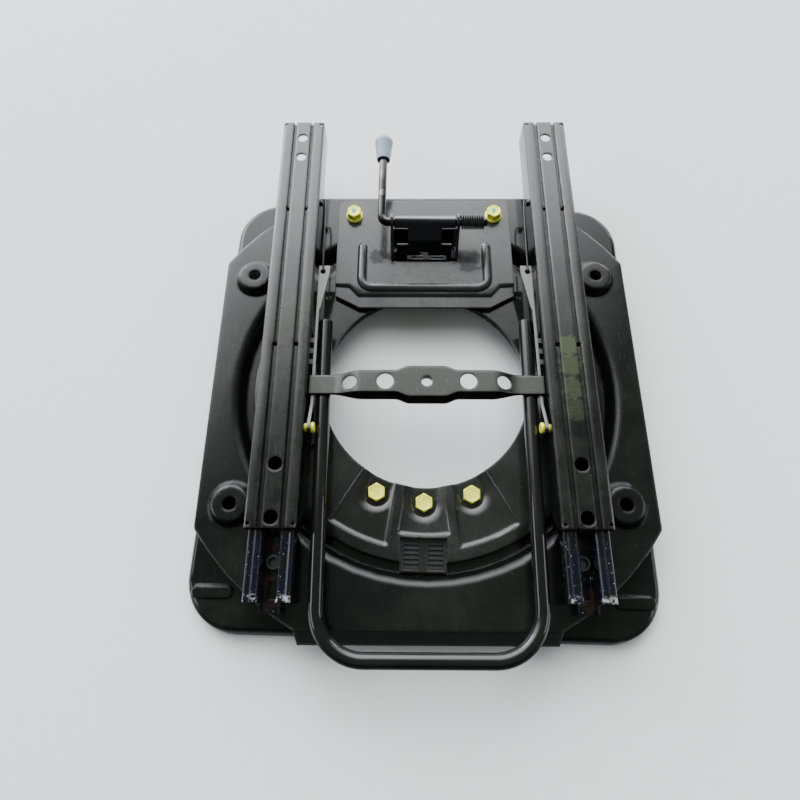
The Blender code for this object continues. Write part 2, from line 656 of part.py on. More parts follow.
def lock_pads():
    for end, facing in (("front", -1), ("rear", 1)):
        for name, side in SIDES:
            low, high = window_box(facing, side, SEAT_GAP)
            crest = RING_TOP
            valley = crest - PAD_RIB_HEIGHT
            pitch = (high[1] - low[1]) / (2 * PAD_RIBS - 1)
            outline = [(low[1], RING_BOTTOM), (high[1], RING_BOTTOM)]
            for i in range(PAD_RIBS):
                y = high[1] - 2 * i * pitch
                outline += [(y, valley if i else crest), (y, crest), (y - pitch, crest)]
                outline += [(y - pitch, valley)] if i < PAD_RIBS - 1 else []
            cleaned = [point for i, point in enumerate(outline) if point != outline[i - 1]]
            pad = solid(f"lock_pad_{end}_{name}", along_x(cleaned, low[0], high[0]), RUBBER_PAD, BASE)
            pad.data.shade_flat()


def hex_bolt(name, place, foot, flats, head, radius, length, material, parent, flange=0.0, up=1):
    """Hex bolt with a chamfered head; up is -1 for one fitted from below."""
    corner = flats / math.sqrt(3)
    six = circle(corner, 6, place)
    dozen = []
    for i, point in enumerate(six):
        after = six[(i + 1) % 6]
        dozen += [point, ((point[0] + after[0]) / 2, (point[1] + after[1]) / 2)]
    crown = circle(flats * 0.46, 12, place)
    shank = circle(radius, 12, place)
    chamfer = head * 0.12
    levels = [(shank, -length), (shank, 0.0)]
    if flange:
        rim = circle(flange, 12, place)
        levels += [(rim, 0.0), (rim, head * 0.12), (dozen, head * 0.3)]
    else:
        levels += [(dozen, 0.0)]
    levels += [(dozen, head - chamfer), (crown, head)]
    made = solid(name, lofted([at_height(o, foot + up * z) for o, z in levels]), material, parent)
    smooth(made, 25)


def ring_bolts():
    shank = POCKET_FLOOR + BASE_SHEET + WELD_NUT
    for number, place in enumerate(ring_bolt_places(), 1):
        foot = RING_BOTTOM + POCKET_FLOOR + SEAT_GAP
        hex_bolt(f"ring_bolt_{number}", place, foot, BOLT_FLATS, BOLT_HEAD, BOLT_R, shank, YELLOW_ZINC, BASE)


def glide_rings():
    for name, radii, bottom, depth in (
        ("glide_ring_lower", GLIDE_LOWER_R, BASE_TOP + SEAT_GAP, GLIDE_LOWER),
        ("glide_ring_upper", GLIDE_UPPER_R, LIP_TOP + SEAT_GAP, GLIDE_UPPER),
    ):
        corners = [(radii[0], bottom), (radii[1], bottom), (radii[1], bottom + depth), (radii[0], bottom + depth)]
        loops = [at_height(circle(radius, 64), z) for radius, z in corners]
        smooth(solid(name, lofted(loops, ring=True), GLIDE_PLASTIC, BASE))


# Upper plate: polar loft whose outline is a disc clipped by its folded sides and ends


def plate_angles():
    side_end = math.degrees(math.acos(PLATE_HALF_WIDTH / PLATE_R))
    arc_end = math.degrees(math.asin(PLATE_HALF_LENGTH / PLATE_R))
    step = 0.25
    quadrant = [side_end * i / 6 for i in range(1, 6)] + [side_end - step, side_end + step]
    quadrant += [side_end + (arc_end - side_end) * i / 5 for i in range(1, 5)]
    quadrant += [arc_end - step, arc_end + step]
    quadrant += [arc_end + (90 - arc_end) * i / 4 for i in range(1, 4)]
    full = []
    for quarter in range(4):
        turned_part = quadrant if quarter % 2 == 0 else [90 - a for a in reversed(quadrant)]
        full += [90.0 * quarter] + [90.0 * quarter + a for a in turned_part]
    return [math.radians(a) for a in full]


def plate_edge(angle, inset, side_drop, end_drop):
    """A point of the plate's outline, and its depth below the plate: (x, y, drop)."""
    c, s = math.cos(angle), math.sin(angle)
    side = abs(c) * PLATE_R > PLATE_HALF_WIDTH
    end = abs(s) * PLATE_R > PLATE_HALF_LENGTH
    if side:
        out, drop = side_drop
        x = math.copysign(PLATE_HALF_WIDTH - inset + out, c)
        y = (PLATE_HALF_WIDTH - inset) * abs(s / c) * math.copysign(1, s)
        return x, y, drop
    if end:
        out, drop = end_drop
        x = (PLATE_HALF_LENGTH - inset) * abs(c / s) * math.copysign(1, c)
        y = math.copysign(PLATE_HALF_LENGTH - inset + out, s)
        return x, y, drop
    return (PLATE_R - inset) * c, (PLATE_R - inset) * s, None


def upper_plate():
    angles = plate_angles()

    def round_loop(radius, z):
        return [(radius * math.cos(a), radius * math.sin(a), z) for a in angles]

    def edge_loop(inset, z, side_drop=(0.0, 0.0), end_drop=(0.0, 0.0), lift=0.0):
        loop = []
        for a in angles:
            x, y, drop = plate_edge(a, inset, side_drop, end_drop)
            loop.append((x, y, z - drop if drop else z - lift))
        return loop

    sheet = PLATE_SHEET
    bend = 1.2 * sheet
    side_in = (SIDE_FLANGE[0] - sheet, SIDE_FLANGE[1])
    end_in = (END_FLANGE[0] - sheet * 0.8, END_FLANGE[1])
    half = sheet * 0.5

    def fold(radius, levels):
        """The well's rounded top edge, from the slanted wall up to the flat, or its underside."""
        turned_up = [math.radians(WELL_SLANT * step) for step in levels]
        return [round_loop(WELL_R - radius * math.sin(a), PLATE_TOP - WELL_FOLD_R + radius * math.cos(a)) for a in turned_up]

    slant = math.radians(WELL_SLANT)
    wall_top = PLATE_TOP - WELL_FOLD_R * (1 - math.cos(slant))
    foot_r = WELL_R - WELL_FOLD_R * math.sin(slant) - (wall_top - LIP_TOP) / math.tan(slant)
    loops = [
        round_loop(LIP_R, LIP_TOP),
        round_loop(foot_r - half, LIP_TOP),
        round_loop(foot_r + half * 0.4, LIP_TOP + half),
        *fold(WELL_FOLD_R, (1.0, 0.72, 0.46, 0.22, 0.0)),
        edge_loop(bend, PLATE_TOP),
        edge_loop(half * 0.5, PLATE_TOP - half * 0.5),
        edge_loop(0.0, PLATE_TOP, (SIDE_FLANGE[0], SIDE_FLANGE[1]), END_FLANGE, sheet * 0.7),
        edge_loop(0.0, PLATE_TOP, side_in, end_in, sheet * 0.9),
        edge_loop(bend, PLATE_TOP - sheet),
        *fold(WELL_FOLD_R - sheet, (0.0, 0.46, 1.0)),
        round_loop(foot_r + sheet * 1.1, LIP_BOTTOM),
        round_loop(LIP_R, LIP_BOTTOM),
    ]
    plate = solid("upper_plate", lofted(loops, ring=True), BLACK_PAINT, SWIVEL)

    bosses, hollows, holes = [], [], []
    for _, side in SIDES:
        for end in (-1, 1):
            place = (side * BOSS_X, end * BOSS_Y)

            def cone(levels, place=place):
                return lofted([at_height(circle(r, 20, place), z) for r, z in levels])

            top = PLATE_TOP + BOSS_HEIGHT
            edge = sheet * 0.5
            low = PLATE_TOP - sheet
            rise, foot = BOSS_TOP_R, BOSS_BASE_R
            bosses.append(
                cone([(foot, PLATE_TOP - edge), (foot, PLATE_TOP + edge * 0.2), (foot - edge, PLATE_TOP + edge),
                      (rise + edge * 1.4, top - 3 * edge), (rise + edge * 0.8, top - edge * 1.1),
                      (rise - edge * 0.1, top - edge * 0.3), (rise - edge * 1.4, top)])
            )
            hollows.append(
                cone([(BOSS_BASE_R - sheet, low - sheet), (BOSS_BASE_R - sheet, low), (BOSS_TOP_R - sheet, top - sheet)])
            )
            holes.append(cylinder(BOSS_HOLE_R, low, top + sheet, place, 16))
            holes.append(
                cylinder(RAIL_SCREW_R + SCREW_CLEARANCE, low - sheet, PLATE_TOP + sheet, (side * RAIL_X, end * RAIL_SCREW_Y), 12)
            )
        holes.append(
            cylinder(LOCK_BOLT_R + SCREW_CLEARANCE, LIP_TOP, PLATE_TOP + sheet, (side * LOCK_BOLT_X, LOCK_BOLT_Y), 12)
        )
    tool(plate, "UNION", together(bosses))
    tool(plate, "DIFFERENCE", together(hollows))
    tool(plate, "DIFFERENCE", together(holes))
    smooth(plate)


# Seat slides: rolled sections carried along Y


def mirrored(half):
    """Full section outline from the points of its right half, listed from its centre line down."""
    return half + [(-x, z) for x, z in reversed(half)]


def lower_section():
    sheet, edge = RAIL_SHEET, RAIL_SHEET * 0.6
    wall = LOWER_GAP_HALF + sheet
    track = (wall + LOWER_HALF_WIDTH) / 2
    top = LOWER_HEIGHT
    half = [
        (wall, 0.0),
        (wall, top - sheet),
        (LOWER_HALF_WIDTH - sheet, top - sheet),
        (LOWER_HALF_WIDTH - sheet, top - LIP_DROP),
        (LOWER_HALF_WIDTH, top - LIP_DROP),
        (LOWER_HALF_WIDTH, top - edge),
        (LOWER_HALF_WIDTH - edge, top),
        (track + sheet, top),
        (track, top - TRACK_DEPTH),
        (track - sheet, top),
        (LOWER_GAP_HALF + edge, top),
        (LOWER_GAP_HALF, top - edge),
        (LOWER_GAP_HALF, sheet),
    ]
    return mirrored(half)


def upper_section(groove_width):
    sheet = RAIL_SHEET
    edge = sheet * 1.1
    top, inner = RAIL_HEIGHT, RAIL_HEIGHT - RAIL_SHEET
    wall, hollow = RAIL_HALF_WIDTH, RAIL_HALF_WIDTH - sheet
    groove_out = GROOVE_AT + groove_width
    slope = GROOVE_DEPTH * 0.42
    half = [
        (GROOVE_AT, top),
        (GROOVE_AT + slope * 0.3, top - slope * 0.2),
        (GROOVE_AT + slope, top - GROOVE_DEPTH),
        (groove_out - slope, top - GROOVE_DEPTH),
        (groove_out - slope * 0.3, top - slope * 0.2),
        (groove_out, top),
        (wall - edge, top),
        (wall - edge * 0.3, top - edge * 0.3),
        (wall, top - edge),
        (wall, HOOK_FLOOR + edge),
        (wall - edge, HOOK_FLOOR),
        (HOOK_AT + edge, HOOK_FLOOR),
        (HOOK_AT, HOOK_FLOOR + edge),
        (HOOK_AT, HOOK_TOP),
        (HOOK_AT + sheet, HOOK_TOP),
        (HOOK_AT + sheet, HOOK_FLOOR + edge + sheet * 0.2),
        (HOOK_AT + edge + sheet * 0.2, HOOK_FLOOR + sheet),
        (hollow - edge * 0.4, HOOK_FLOOR + sheet),
        (hollow, HOOK_FLOOR + sheet + edge * 0.4),
        (hollow, inner - edge * 0.5),
        (hollow - edge * 0.5, inner),
        (groove_out + slope * 0.4, inner),
        (groove_out - slope * 0.5, inner - GROOVE_DEPTH),
        (GROOVE_AT + slope * 0.5, inner - GROOVE_DEPTH),
        (GROOVE_AT - slope * 0.4, inner),
    ]
    return mirrored(half)


def along_y(sections, centre_x, foot):
    """Skin over (y, outline) pairs, each outline in (x, z) about the rail's own centre."""
    return lofted([[(centre_x + x, y, foot + z) for x, z in outline] for y, outline in sections])


def lower_rail(name, side):
    front, rear = LOWER_RAIL_FRONT, LOWER_RAIL_REAR
    centre = side * RAIL_X
    section = lower_section()
    rail = solid(f"lower_rail_{name}", along_y([(front, section), (rear, section)], centre, RAIL_FOOT), BLACK_PAINT, SWIVEL)
    cuts = []
    for start, stop in ((front - LIP_TRIM, front + LIP_TRIM), (rear - LIP_TRIM, rear + LIP_TRIM)):
        reach = RAIL_HALF_WIDTH
        cuts.append(box((centre - reach, start, RAIL_FOOT + STUB_HEIGHT), (centre + reach, stop, RAIL_TOP)))
    for y in (-RAIL_SCREW_Y, RAIL_SCREW_Y):
        low, high = RAIL_FOOT - RAIL_SHEET, RAIL_FOOT + 2 * RAIL_SHEET
        cuts.append(cylinder(RAIL_SCREW_R + SCREW_CLEARANCE, low, high, (centre, y), 12))
    half = (FLOOR_SLOT[0] / 2, FLOOR_SLOT[1] / 2)
    for y in (front + FLOOR_SLOT_INSET, rear - FLOOR_SLOT_INSET):
        low = (centre - half[0], y - half[1], RAIL_FOOT - RAIL_SHEET)
        cuts.append(box(low, (centre + half[0], y + half[1], RAIL_FOOT + 2 * RAIL_SHEET)))
    inner = centre - side * (LOWER_HALF_WIDTH - RAIL_SHEET / 2)
    for i in range(LATCH_SLOTS):
        y = (i - (LATCH_SLOTS - 1) / 2) * LATCH_PITCH + sum(WINDOW_Y) / 2
        slot = TOOTH + 2 * SEAT_GAP
        low = (inner - RAIL_SHEET, y - slot / 2, RAIL_FOOT + LOWER_HEIGHT - LIP_DROP - RAIL_SHEET)
        high = (inner + RAIL_SHEET, y + slot / 2, LEVER_TOP - LEVER_SHEET * 0.6)
        cuts.append(box(low, high))
    tool(rail, "DIFFERENCE", together(cuts))
    smooth(rail, 25)


def upper_rail(name, side):
    centre = side * RAIL_X
    wide, narrow = upper_section(GROOVE_WIDTH), upper_section(GROOVE_REAR_WIDTH)
    step = STOP_NOTCH / 4
    sections = [
        (RAIL_FRONT, wide),
        (GROOVE_STOPS[0], wide),
        (GROOVE_STOPS[0] + step, narrow),
        (RAIL_REAR, narrow),
    ]
    rail = solid(f"upper_rail_{name}", along_y(sections, centre, RAIL_FOOT), BLACK_PAINT, SLIDE)
    under, over = RAIL_TOP - 3 * RAIL_SHEET, RAIL_TOP + RAIL_SHEET
    cuts = []
    for places, radius in ((REAR_HOLES, REAR_HOLE_R), (FRONT_HOLES, FRONT_HOLE_R)):
        cuts += [cylinder(radius, under, over, (centre, y), 20) for y in places]
    for turn in (-1, 1):
        for y in (RAIL_FRONT + DRIP_HOLE_INSET[1], RAIL_REAR - DRIP_HOLE_INSET[1]):
            x = centre + turn * (RAIL_HALF_WIDTH - DRIP_HOLE_INSET[0])
            cuts.append(cylinder(DRIP_HOLE_R, under, over, (x, y), 8))
        for y in GROOVE_STOPS:
            x = centre + turn * (GROOVE_AT + GROOVE_WIDTH * 0.45)
            half = STOP_NOTCH / 2
            cuts.append(box((x - half, y - half, under), (x + half, y + half, over)))
    wall = centre - side * RAIL_HALF_WIDTH
    low = (wall - 2 * RAIL_SHEET, WINDOW_Y[0], RAIL_FOOT + WINDOW_Z[0])
    cuts.append(box(low, (wall + 2 * RAIL_SHEET, WINDOW_Y[1], RAIL_FOOT + WINDOW_Z[1])))
    pin_hole = along_x(circle(PIN_R + PIN_CLEARANCE, 12, (PIN_Y, PIN_Z)), wall - 2 * RAIL_SHEET, wall + 2 * RAIL_SHEET)
    tool(rail, "DIFFERENCE", together(cuts + [pin_hole]))
    lug_low = (min(wall - side * HOOK_LUG, wall), WIRE_HOOK_Y - 3 * WIRE_R, LEVER_TOP - 2 * WIRE_R)
    lug_high = (max(wall - side * HOOK_LUG, wall), WIRE_HOOK_Y, LEVER_TOP + 4 * WIRE_R)
    lug_low = (lug_low[0] - (RAIL_SHEET / 2 if side < 0 else 0), lug_low[1], lug_low[2])
    lug_high = (lug_high[0] + (RAIL_SHEET / 2 if side > 0 else 0), lug_high[1], lug_high[2])
    tool(rail, "UNION", box(lug_low, lug_high))
    smooth(rail, 25)


def ball_cage(name, side, place, turn):
    """Strip with four balls, between the lower rail's track and the upper rail."""
    track = (LOWER_GAP_HALF + RAIL_SHEET + LOWER_HALF_WIDTH) / 2
    x = side * RAIL_X + turn * track
    middle = RAIL_FOOT + (LOWER_HEIGHT - TRACK_DEPTH + RAIL_HEIGHT - RAIL_SHEET) / 2
    y = CAGES["place"][1]
    low = (x - CAGE_STRIP[0] / 2, y - CAGE_LENGTH / 2, middle - CAGE_STRIP[1] / 2)
    high = (x + CAGE_STRIP[0] / 2, y + CAGE_LENGTH / 2, middle + CAGE_STRIP[1] / 2)
    cage = solid(f"ball_cage_{name}_{place}", box(low, high), BALL_STEEL, CAGES)
    balls = []
    for end in (-1, 1):
        for inset in (0.06, 0.18):
            ball = bmesh.new()
            at = Vector((x, y + end * CAGE_LENGTH * (0.5 - inset), middle))
            bmesh.ops.create_icosphere(ball, subdivisions=2, radius=BALL_R, matrix=Matrix.Translation(at))
            points = [tuple(v.co) for v in ball.verts]
            balls.append((points, [tuple(v.index for v in f.verts) for f in ball.faces]))
            ball.free()
    tool(cage, "UNION", together(balls))
    smooth(cage, 25)


def rail_fasteners(name, side):
    for end, y in (("front", -RAIL_SCREW_Y), ("rear", RAIL_SCREW_Y)):
        place = (side * RAIL_X, y)
        nut_foot = RAIL_FOOT + RAIL_SHEET + SEAT_GAP
        bore = RAIL_SCREW_R + SCREW_CLEARANCE
        top = nut_foot + RAIL_NUT_HEIGHT
        chamfer = RAIL_NUT_R * 0.12
        profile = [(bore, nut_foot), (RAIL_NUT_R, nut_foot), (RAIL_NUT_R, top - chamfer),
                   (RAIL_NUT_R - chamfer, top), (bore, top)]
        loops = [at_height(circle(r, 16, place), z) for r, z in profile]
        smooth(solid(f"rail_nut_{end}_{name}", lofted(loops, ring=True), BLACK_OXIDE, SWIVEL))
        head = PLATE_TOP - PLATE_SHEET - SEAT_GAP
        reach = nut_foot + RAIL_NUT_HEIGHT * 0.5 - head
        hex_bolt(f"rail_screw_{end}_{name}", place, head, RAIL_SCREW_FLATS, RAIL_SCREW_HEAD, RAIL_SCREW_R, reach,
                 BLACK_OXIDE, SWIVEL, up=-1)


# Lock plate: plate with a folded front skirt, U bead, window and two upright ears


def lock_plate():
    half = LOCK_HALF_WIDTH
    sheet = LOCK_SHEET
    corner = LOCK_CORNER_R
    start_y = LOCK_FRONT_Y + LOCK_SHELF[0] + LOCK_CORNER[1] * 0.65
    rear = [(half, start_y)] + arc((half - corner, LOCK_REAR_Y - corner), corner, 0, 90, 3)
    rear += arc((-half + corner, LOCK_REAR_Y - corner), corner, 90, 180, 3) + [(-half, start_y)]

    def front(out, reach):
        """The front boundary from left to right: side corner, notch and straight front, moved out by a step."""
        side_y = LOCK_FRONT_Y + LOCK_SHELF[0] + LOCK_CORNER[1] * 0.48 - reach
        notch = (half - LOCK_CORNER[0] * 1.3 + out * 0.3, side_y - out * 0.4)
        turn = (half - LOCK_CORNER[1] + out * 0.4, LOCK_FRONT_Y + LOCK_SHELF[0] - reach)
        right = [turn, notch, (half, side_y)]
        return [(-x, y) for x, y in reversed(right)] + right

    def lower(back):
        """The skirt's lower edge."""
        side_y = LOCK_FRONT_Y + LOCK_CORNER[0] * 1.16 + back
        right = [(half - LOCK_CORNER[1], LOCK_FRONT_Y + back), (half - LOCK_CORNER[0], LOCK_FRONT_Y + LOCK_CORNER[0] * 0.64 + back)]
        right += [(half, side_y)]
        return [(-x, y) for x, y in reversed(right)] + right

    def loop(boundary, z_rear, z_front, inset=0.0):
        points = [(x - math.copysign(inset, x), y - inset, z_rear) for x, y in rear]
        return points + [(x - math.copysign(inset, x), y, z_front) for x, y in boundary]

    low = LOCK_TOP - sheet
    step, shelf = LOCK_TOP - LOCK_STEP, LOCK_TOP - LOCK_STEP - LOCK_SHELF_DROP
    loops = [
        loop(front(0.0, 0.0), LOCK_TOP, LOCK_TOP),
        loop(front(LOCK_STEP, LOCK_STEP * 0.35), LOCK_TOP - sheet * 0.15, LOCK_TOP - LOCK_STEP * 0.3),
        loop(front(LOCK_STEP, LOCK_STEP), LOCK_TOP - sheet * 0.3, step),
        loop(lower(sheet * 0.3), low + sheet * 0.4, shelf),
        loop(lower(0.0), low + sheet * 0.2, shelf - LOCK_HEM * 0.4),
        loop(lower(sheet * 0.3), low, shelf - LOCK_HEM),
        loop(front(LOCK_STEP, LOCK_STEP - sheet), low, low - LOCK_STEP * 0.7),
        loop(front(0.0, -sheet), low, low),
    ]
    plate = solid("lock_plate", lofted(loops), BLACK_PAINT, SWIVEL)

    wide, (near, far), turn = RIB_HALF_WIDTH, RIB_Y, RIB_CORNER_R
    path = [(-wide, far)] + arc((-wide + turn, near + turn), turn, 180, 270, 4)
    path += arc((wide - turn, near + turn), turn, 270, 360, 4) + [(wide, far)]
    rib = [tube([(x, y, LOCK_TOP - RIB_SINK) for x, y in path], RIB_R, 16)]
    for side in (-1, 1):
        ball = [(RIB_R * math.cos(math.radians(a)), RIB_R * math.sin(math.radians(a))) for a in (-80, -45, -15, 15, 45, 80)]
        rib.append(turned(ball, 16, Matrix.Translation((side * wide, far, LOCK_TOP - RIB_SINK))))
    keep = box((-half, 0, LOCK_TOP - sheet * 0.6), (half, LOCK_REAR_Y, RAIL_TOP))
    rib_piece = solid("rib_shape", rib[0], BLACK_PAINT, SWIVEL)
    for end in rib[1:]:
        tool(rib_piece, "UNION", end)
    tool(rib_piece, "INTERSECT", keep)
    join(plate, rib_piece)

    opening = box((-OPENING_HALF_WIDTH, OPENING_Y[0], low - sheet), (OPENING_HALF_WIDTH, OPENING_Y[1], RAIL_TOP))
    tool(plate, "DIFFERENCE", opening)
    ears = []
    for _, side in SIDES:
        outline = [(OPENING_Y[0] + EAR_INSET, low + SEAT_GAP), (OPENING_Y[1] - EAR_INSET, low + SEAT_GAP)]
        outline += arc((ROD_Y, ROD_Z), EAR_R, 0, 150, 8)
        x_out = side * (OPENING_HALF_WIDTH + SEAT_GAP)
        x_in = side * (OPENING_HALF_WIDTH + SEAT_GAP - EAR_SHEET)
        ears.append(along_x(outline, min(x_out, x_in), max(x_out, x_in)))
    tool(plate, "UNION", together(ears))
    reach = OPENING_HALF_WIDTH + 2 * EAR_SHEET
    cuts = [along_x(circle(ROD_R + PIN_CLEARANCE, 16, (ROD_Y, ROD_Z)), -reach, reach)]
    for _, side in SIDES:
        cuts.append(cylinder(LOCK_BOLT_R + SCREW_CLEARANCE, low - sheet, RAIL_TOP, (side * LOCK_BOLT_X, LOCK_BOLT_Y), 12))
    tool(plate, "DIFFERENCE", together(cuts))
    smooth(plate, 30)


def lock_plate_bolts():
    for name, side in SIDES:
        hex_bolt(f"lock_plate_bolt_{name}", (side * LOCK_BOLT_X, LOCK_BOLT_Y), LOCK_TOP + SEAT_GAP, LOCK_BOLT_FLATS,
                 LOCK_BOLT_HEAD, LOCK_BOLT_R, LOCK_SHEET + 3 * PLATE_SHEET, YELLOW_ZINC, SWIVEL, flange=LOCK_BOLT_FLANGE_R)


# Lock lever: bent rod, forked tongue, knob, and the spring beside the ears


def handle_direction():
    flat = math.cos(HANDLE_RISE)
    return Vector((flat * math.sin(HANDLE_LEAN), flat * math.cos(HANDLE_LEAN), math.sin(HANDLE_RISE)))


def lock_rod():
    corner = Vector((ROD_BEND_X, ROD_Y, ROD_Z))
    along, up = Vector((-1, 0, 0)), handle_direction()
    start, stop = corner - along * ROD_BEND_R, corner + up * ROD_BEND_R
    path = [Vector((ROD_END_X, ROD_Y, ROD_Z)), start]
    for i in range(1, 6):
        t = i / 6
        path.append(start * (1 - t) ** 2 + corner * 2 * t * (1 - t) + stop * t**2)
    path += [stop, corner + up * (HANDLE_LENGTH + KNOB_LENGTH * 0.6)]
    smooth(solid("lock_rod", tube(path, ROD_R, 12), BLACK_PAINT, LEVER_AXIS))


def lever_knob():
    up = handle_direction()
    foot = Vector((ROD_BEND_X, ROD_Y, ROD_Z)) + up * HANDLE_LENGTH
    axis = Matrix.Translation(foot) @ up.to_track_quat("Z", "X").to_matrix().to_4x4()
    length = KNOB_LENGTH
    bore = ROD_R + SEAT_GAP
    profile = [
        (bore, length * 0.62),
        (bore, 0.0),
        (KNOB_NECK_R, 0.0),
        (KNOB_NECK_R * 1.06, length * 0.08),
        (KNOB_R * 0.86, length * 0.45),
        (KNOB_R, length * 0.68),
        (KNOB_R * 0.97, length * 0.76),
        (KNOB_R * 0.72, length * 0.88),
        (KNOB_R * 0.3, length),
    ]
    smooth(solid("lever_knob", turned(profile, 16, axis), GREY_PLASTIC, LEVER_AXIS))


def lock_tongue():
    bottom = RING_TOP + RING_CROWN[1] + 2 * SEAT_GAP
    bend_y, bend_z = ROD_Y - TONGUE_REACH, ROD_Z - TONGUE_BEND
    sheet = TONGUE_SHEET
    outline = [
        (ROD_Y - SLEEVE_R * 0.9, ROD_Z + sheet * 0.6),
        (bend_y + sheet * 0.2, bend_z + sheet * 0.6),
        (bend_y - sheet * 0.5, bend_z - sheet * 0.5),
        (bend_y - sheet * 0.5, bottom),
        (bend_y + sheet * 0.5, bottom),
        (bend_y + sheet * 0.5, bend_z - sheet),
        (bend_y + sheet * 1.1, bend_z - sheet * 0.6),
        (ROD_Y - SLEEVE_R * 0.9, ROD_Z - sheet * 0.8),
    ]
    wide, wider = TONGUE_HALF_WIDTH, PRONG_HALF_WIDTH
    tongue = solid("lock_tongue", along_x(outline, -wide, wide), BLACK_PAINT, LEVER_AXIS)
    shoulder = (bend_z - sheet - bottom) * 0.72 + bottom
    prongs = box((-wider, bend_y - sheet * 0.42, bottom), (wider, bend_y + sheet * 0.42, shoulder))
    tool(tongue, "UNION", prongs)
    sleeve_half = OPENING_HALF_WIDTH - EAR_SHEET - 2 * SEAT_GAP
    tool(tongue, "UNION", along_x(circle(SLEEVE_R, 16, (ROD_Y, ROD_Z)), -sleeve_half, sleeve_half))
    bore = along_x(circle(ROD_R + SEAT_GAP, 16, (ROD_Y, ROD_Z)), -2 * sleeve_half, 2 * sleeve_half)
    half_web = LOCK_WEB / 2
    fork = box((-half_web, bend_y - 2 * sheet, bottom - sheet), (half_web, bend_y + 2 * sheet, bottom + PRONG_LENGTH))
    tool(tongue, "DIFFERENCE", together([bore, fork]))
    smooth(tongue, 30)


def lever_spring():
    steps = 10
    start = OPENING_HALF_WIDTH + 2 * COIL_WIRE_R + SEAT_GAP
    stop = start + COIL_LENGTH
    path = [(start, ROD_Y + COIL_R, LOCK_TOP + SEAT_GAP)]
    for i in range(COIL_TURNS * steps + 1):
        a = 2 * math.pi * i / steps
        x = start + (stop - start) * i / (COIL_TURNS * steps)
        path.append((x, ROD_Y + COIL_R * math.cos(a), ROD_Z + COIL_R * math.sin(a)))
    smooth(solid("lever_spring", tube(path, COIL_WIRE_R, 6), SPRING_STEEL, SWIVEL))


# Towel bar, cross strap and latch levers


def towel_bar():
    lean = math.atan2(TUBE_TAPER, TUBE_REAR_Y - TUBE_FRONT_Y)
    centre_y = TUBE_FRONT_Y + TUBE_BEND_R
    centre_x = TUBE_FRONT_X - TUBE_BEND_R
    half = arc((centre_x, centre_y), TUBE_BEND_R, -90, -math.degrees(lean), 8) + [(TUBE_REAR_X, TUBE_REAR_Y)]
    path = [(-x, y, TUBE_Z) for x, y in reversed(half)] + [(x, y, TUBE_Z) for x, y in half]
    smooth(solid("towel_bar", tube(path, TUBE_R, 14, TUBE_R - TUBE_WALL), BLACK_PAINT, BAR_AXIS))


def strap_profile(distance):
    """Height above the saddles, half-width and flange depth of the strap at a distance from its middle."""
    fall = min(1.0, max(0.0, (distance - STRAP_FLAT_HALF) / (SADDLE_FROM - STRAP_FLAT_HALF)))
    ease = fall * fall * (3 - 2 * fall)
    wide, bulge_from, bulge_over = STRAP_BULGE
    bulge = min(1.0, max(0.0, (distance - bulge_from) / bulge_over))
    half = wide - (wide - STRAP_HALF_LENGTH) * bulge * bulge * (3 - 2 * bulge)
    half -= STRAP_HALF_LENGTH * 0.12 * fall
    flange = STRAP_FLANGE * (1 - ease) if distance < SADDLE_FROM else 0.0
    return (RAIL_TOP - SADDLE_TOP) * (1 - ease), half, max(flange, STRAP_FLANGE * 0.02)


def cross_strap():
    _, bulge_from, bulge_over = STRAP_BULGE
    distances = [0.0] + [bulge_from + bulge_over * i / 4 for i in range(5)]
    distances += [(bulge_from + bulge_over + STRAP_FLAT_HALF) / 2]
    distances += [STRAP_FLAT_HALF + (SADDLE_FROM - STRAP_FLAT_HALF) * i / 6 for i in range(7)]
    distances += [SADDLE_FROM * 1.03, STRAP_END]
    stations = [-d for d in reversed(distances[1:])] + distances
    sheet = STRAP_SHEET
    loops = []
    for x in stations:
        rise, half, flange = strap_profile(abs(x))
        top = SADDLE_TOP + rise
        lean = flange * 0.45
        back, front = STRAP_Y + half, STRAP_Y - half
        soft = sheet * 0.5
        section = [
            (front - lean, top - soft - flange),
            (front, top - soft),
            (front + soft, top),
            (back - soft, top),
            (back, top - soft),
            (back + lean * 0.5, top - soft - flange),
            (back + lean * 0.5 - soft, top - soft * 1.1 - flange),
            (back - sheet, top - sheet * 1.05),
            (front + sheet, top - sheet * 1.05),
            (front - lean + soft, top - soft * 1.1 - flange),
        ]
        if abs(x) > SADDLE_FROM:
            section[0] = (front, top - sheet * 0.8)
            section[5] = (back, top - sheet * 0.8)
            section[6:] = [(back - soft, top - sheet), (back - sheet, top - sheet),
                           (front + sheet, top - sheet), (front + soft, top - sheet)]
        loops.append([(x, y, z) for y, z in section])
    strap = solid("cross_strap", lofted(loops), BLACK_PAINT, BAR_AXIS)
    top = RAIL_TOP
    tool(strap, "UNION", cylinder(COLLAR_R, top - COLLAR_DEPTH, top - sheet * 0.5, (0, STRAP_Y), 20))
    cuts = []
    for distance, radius in STRAP_HOLES:
        for side in (-1, 1) if distance else (1,):
            cuts.append(cylinder(radius, TUBE_Z, top + sheet, (side * distance, STRAP_Y), 20))
    tool(strap, "DIFFERENCE", together(cuts))
    smooth(strap, 40)


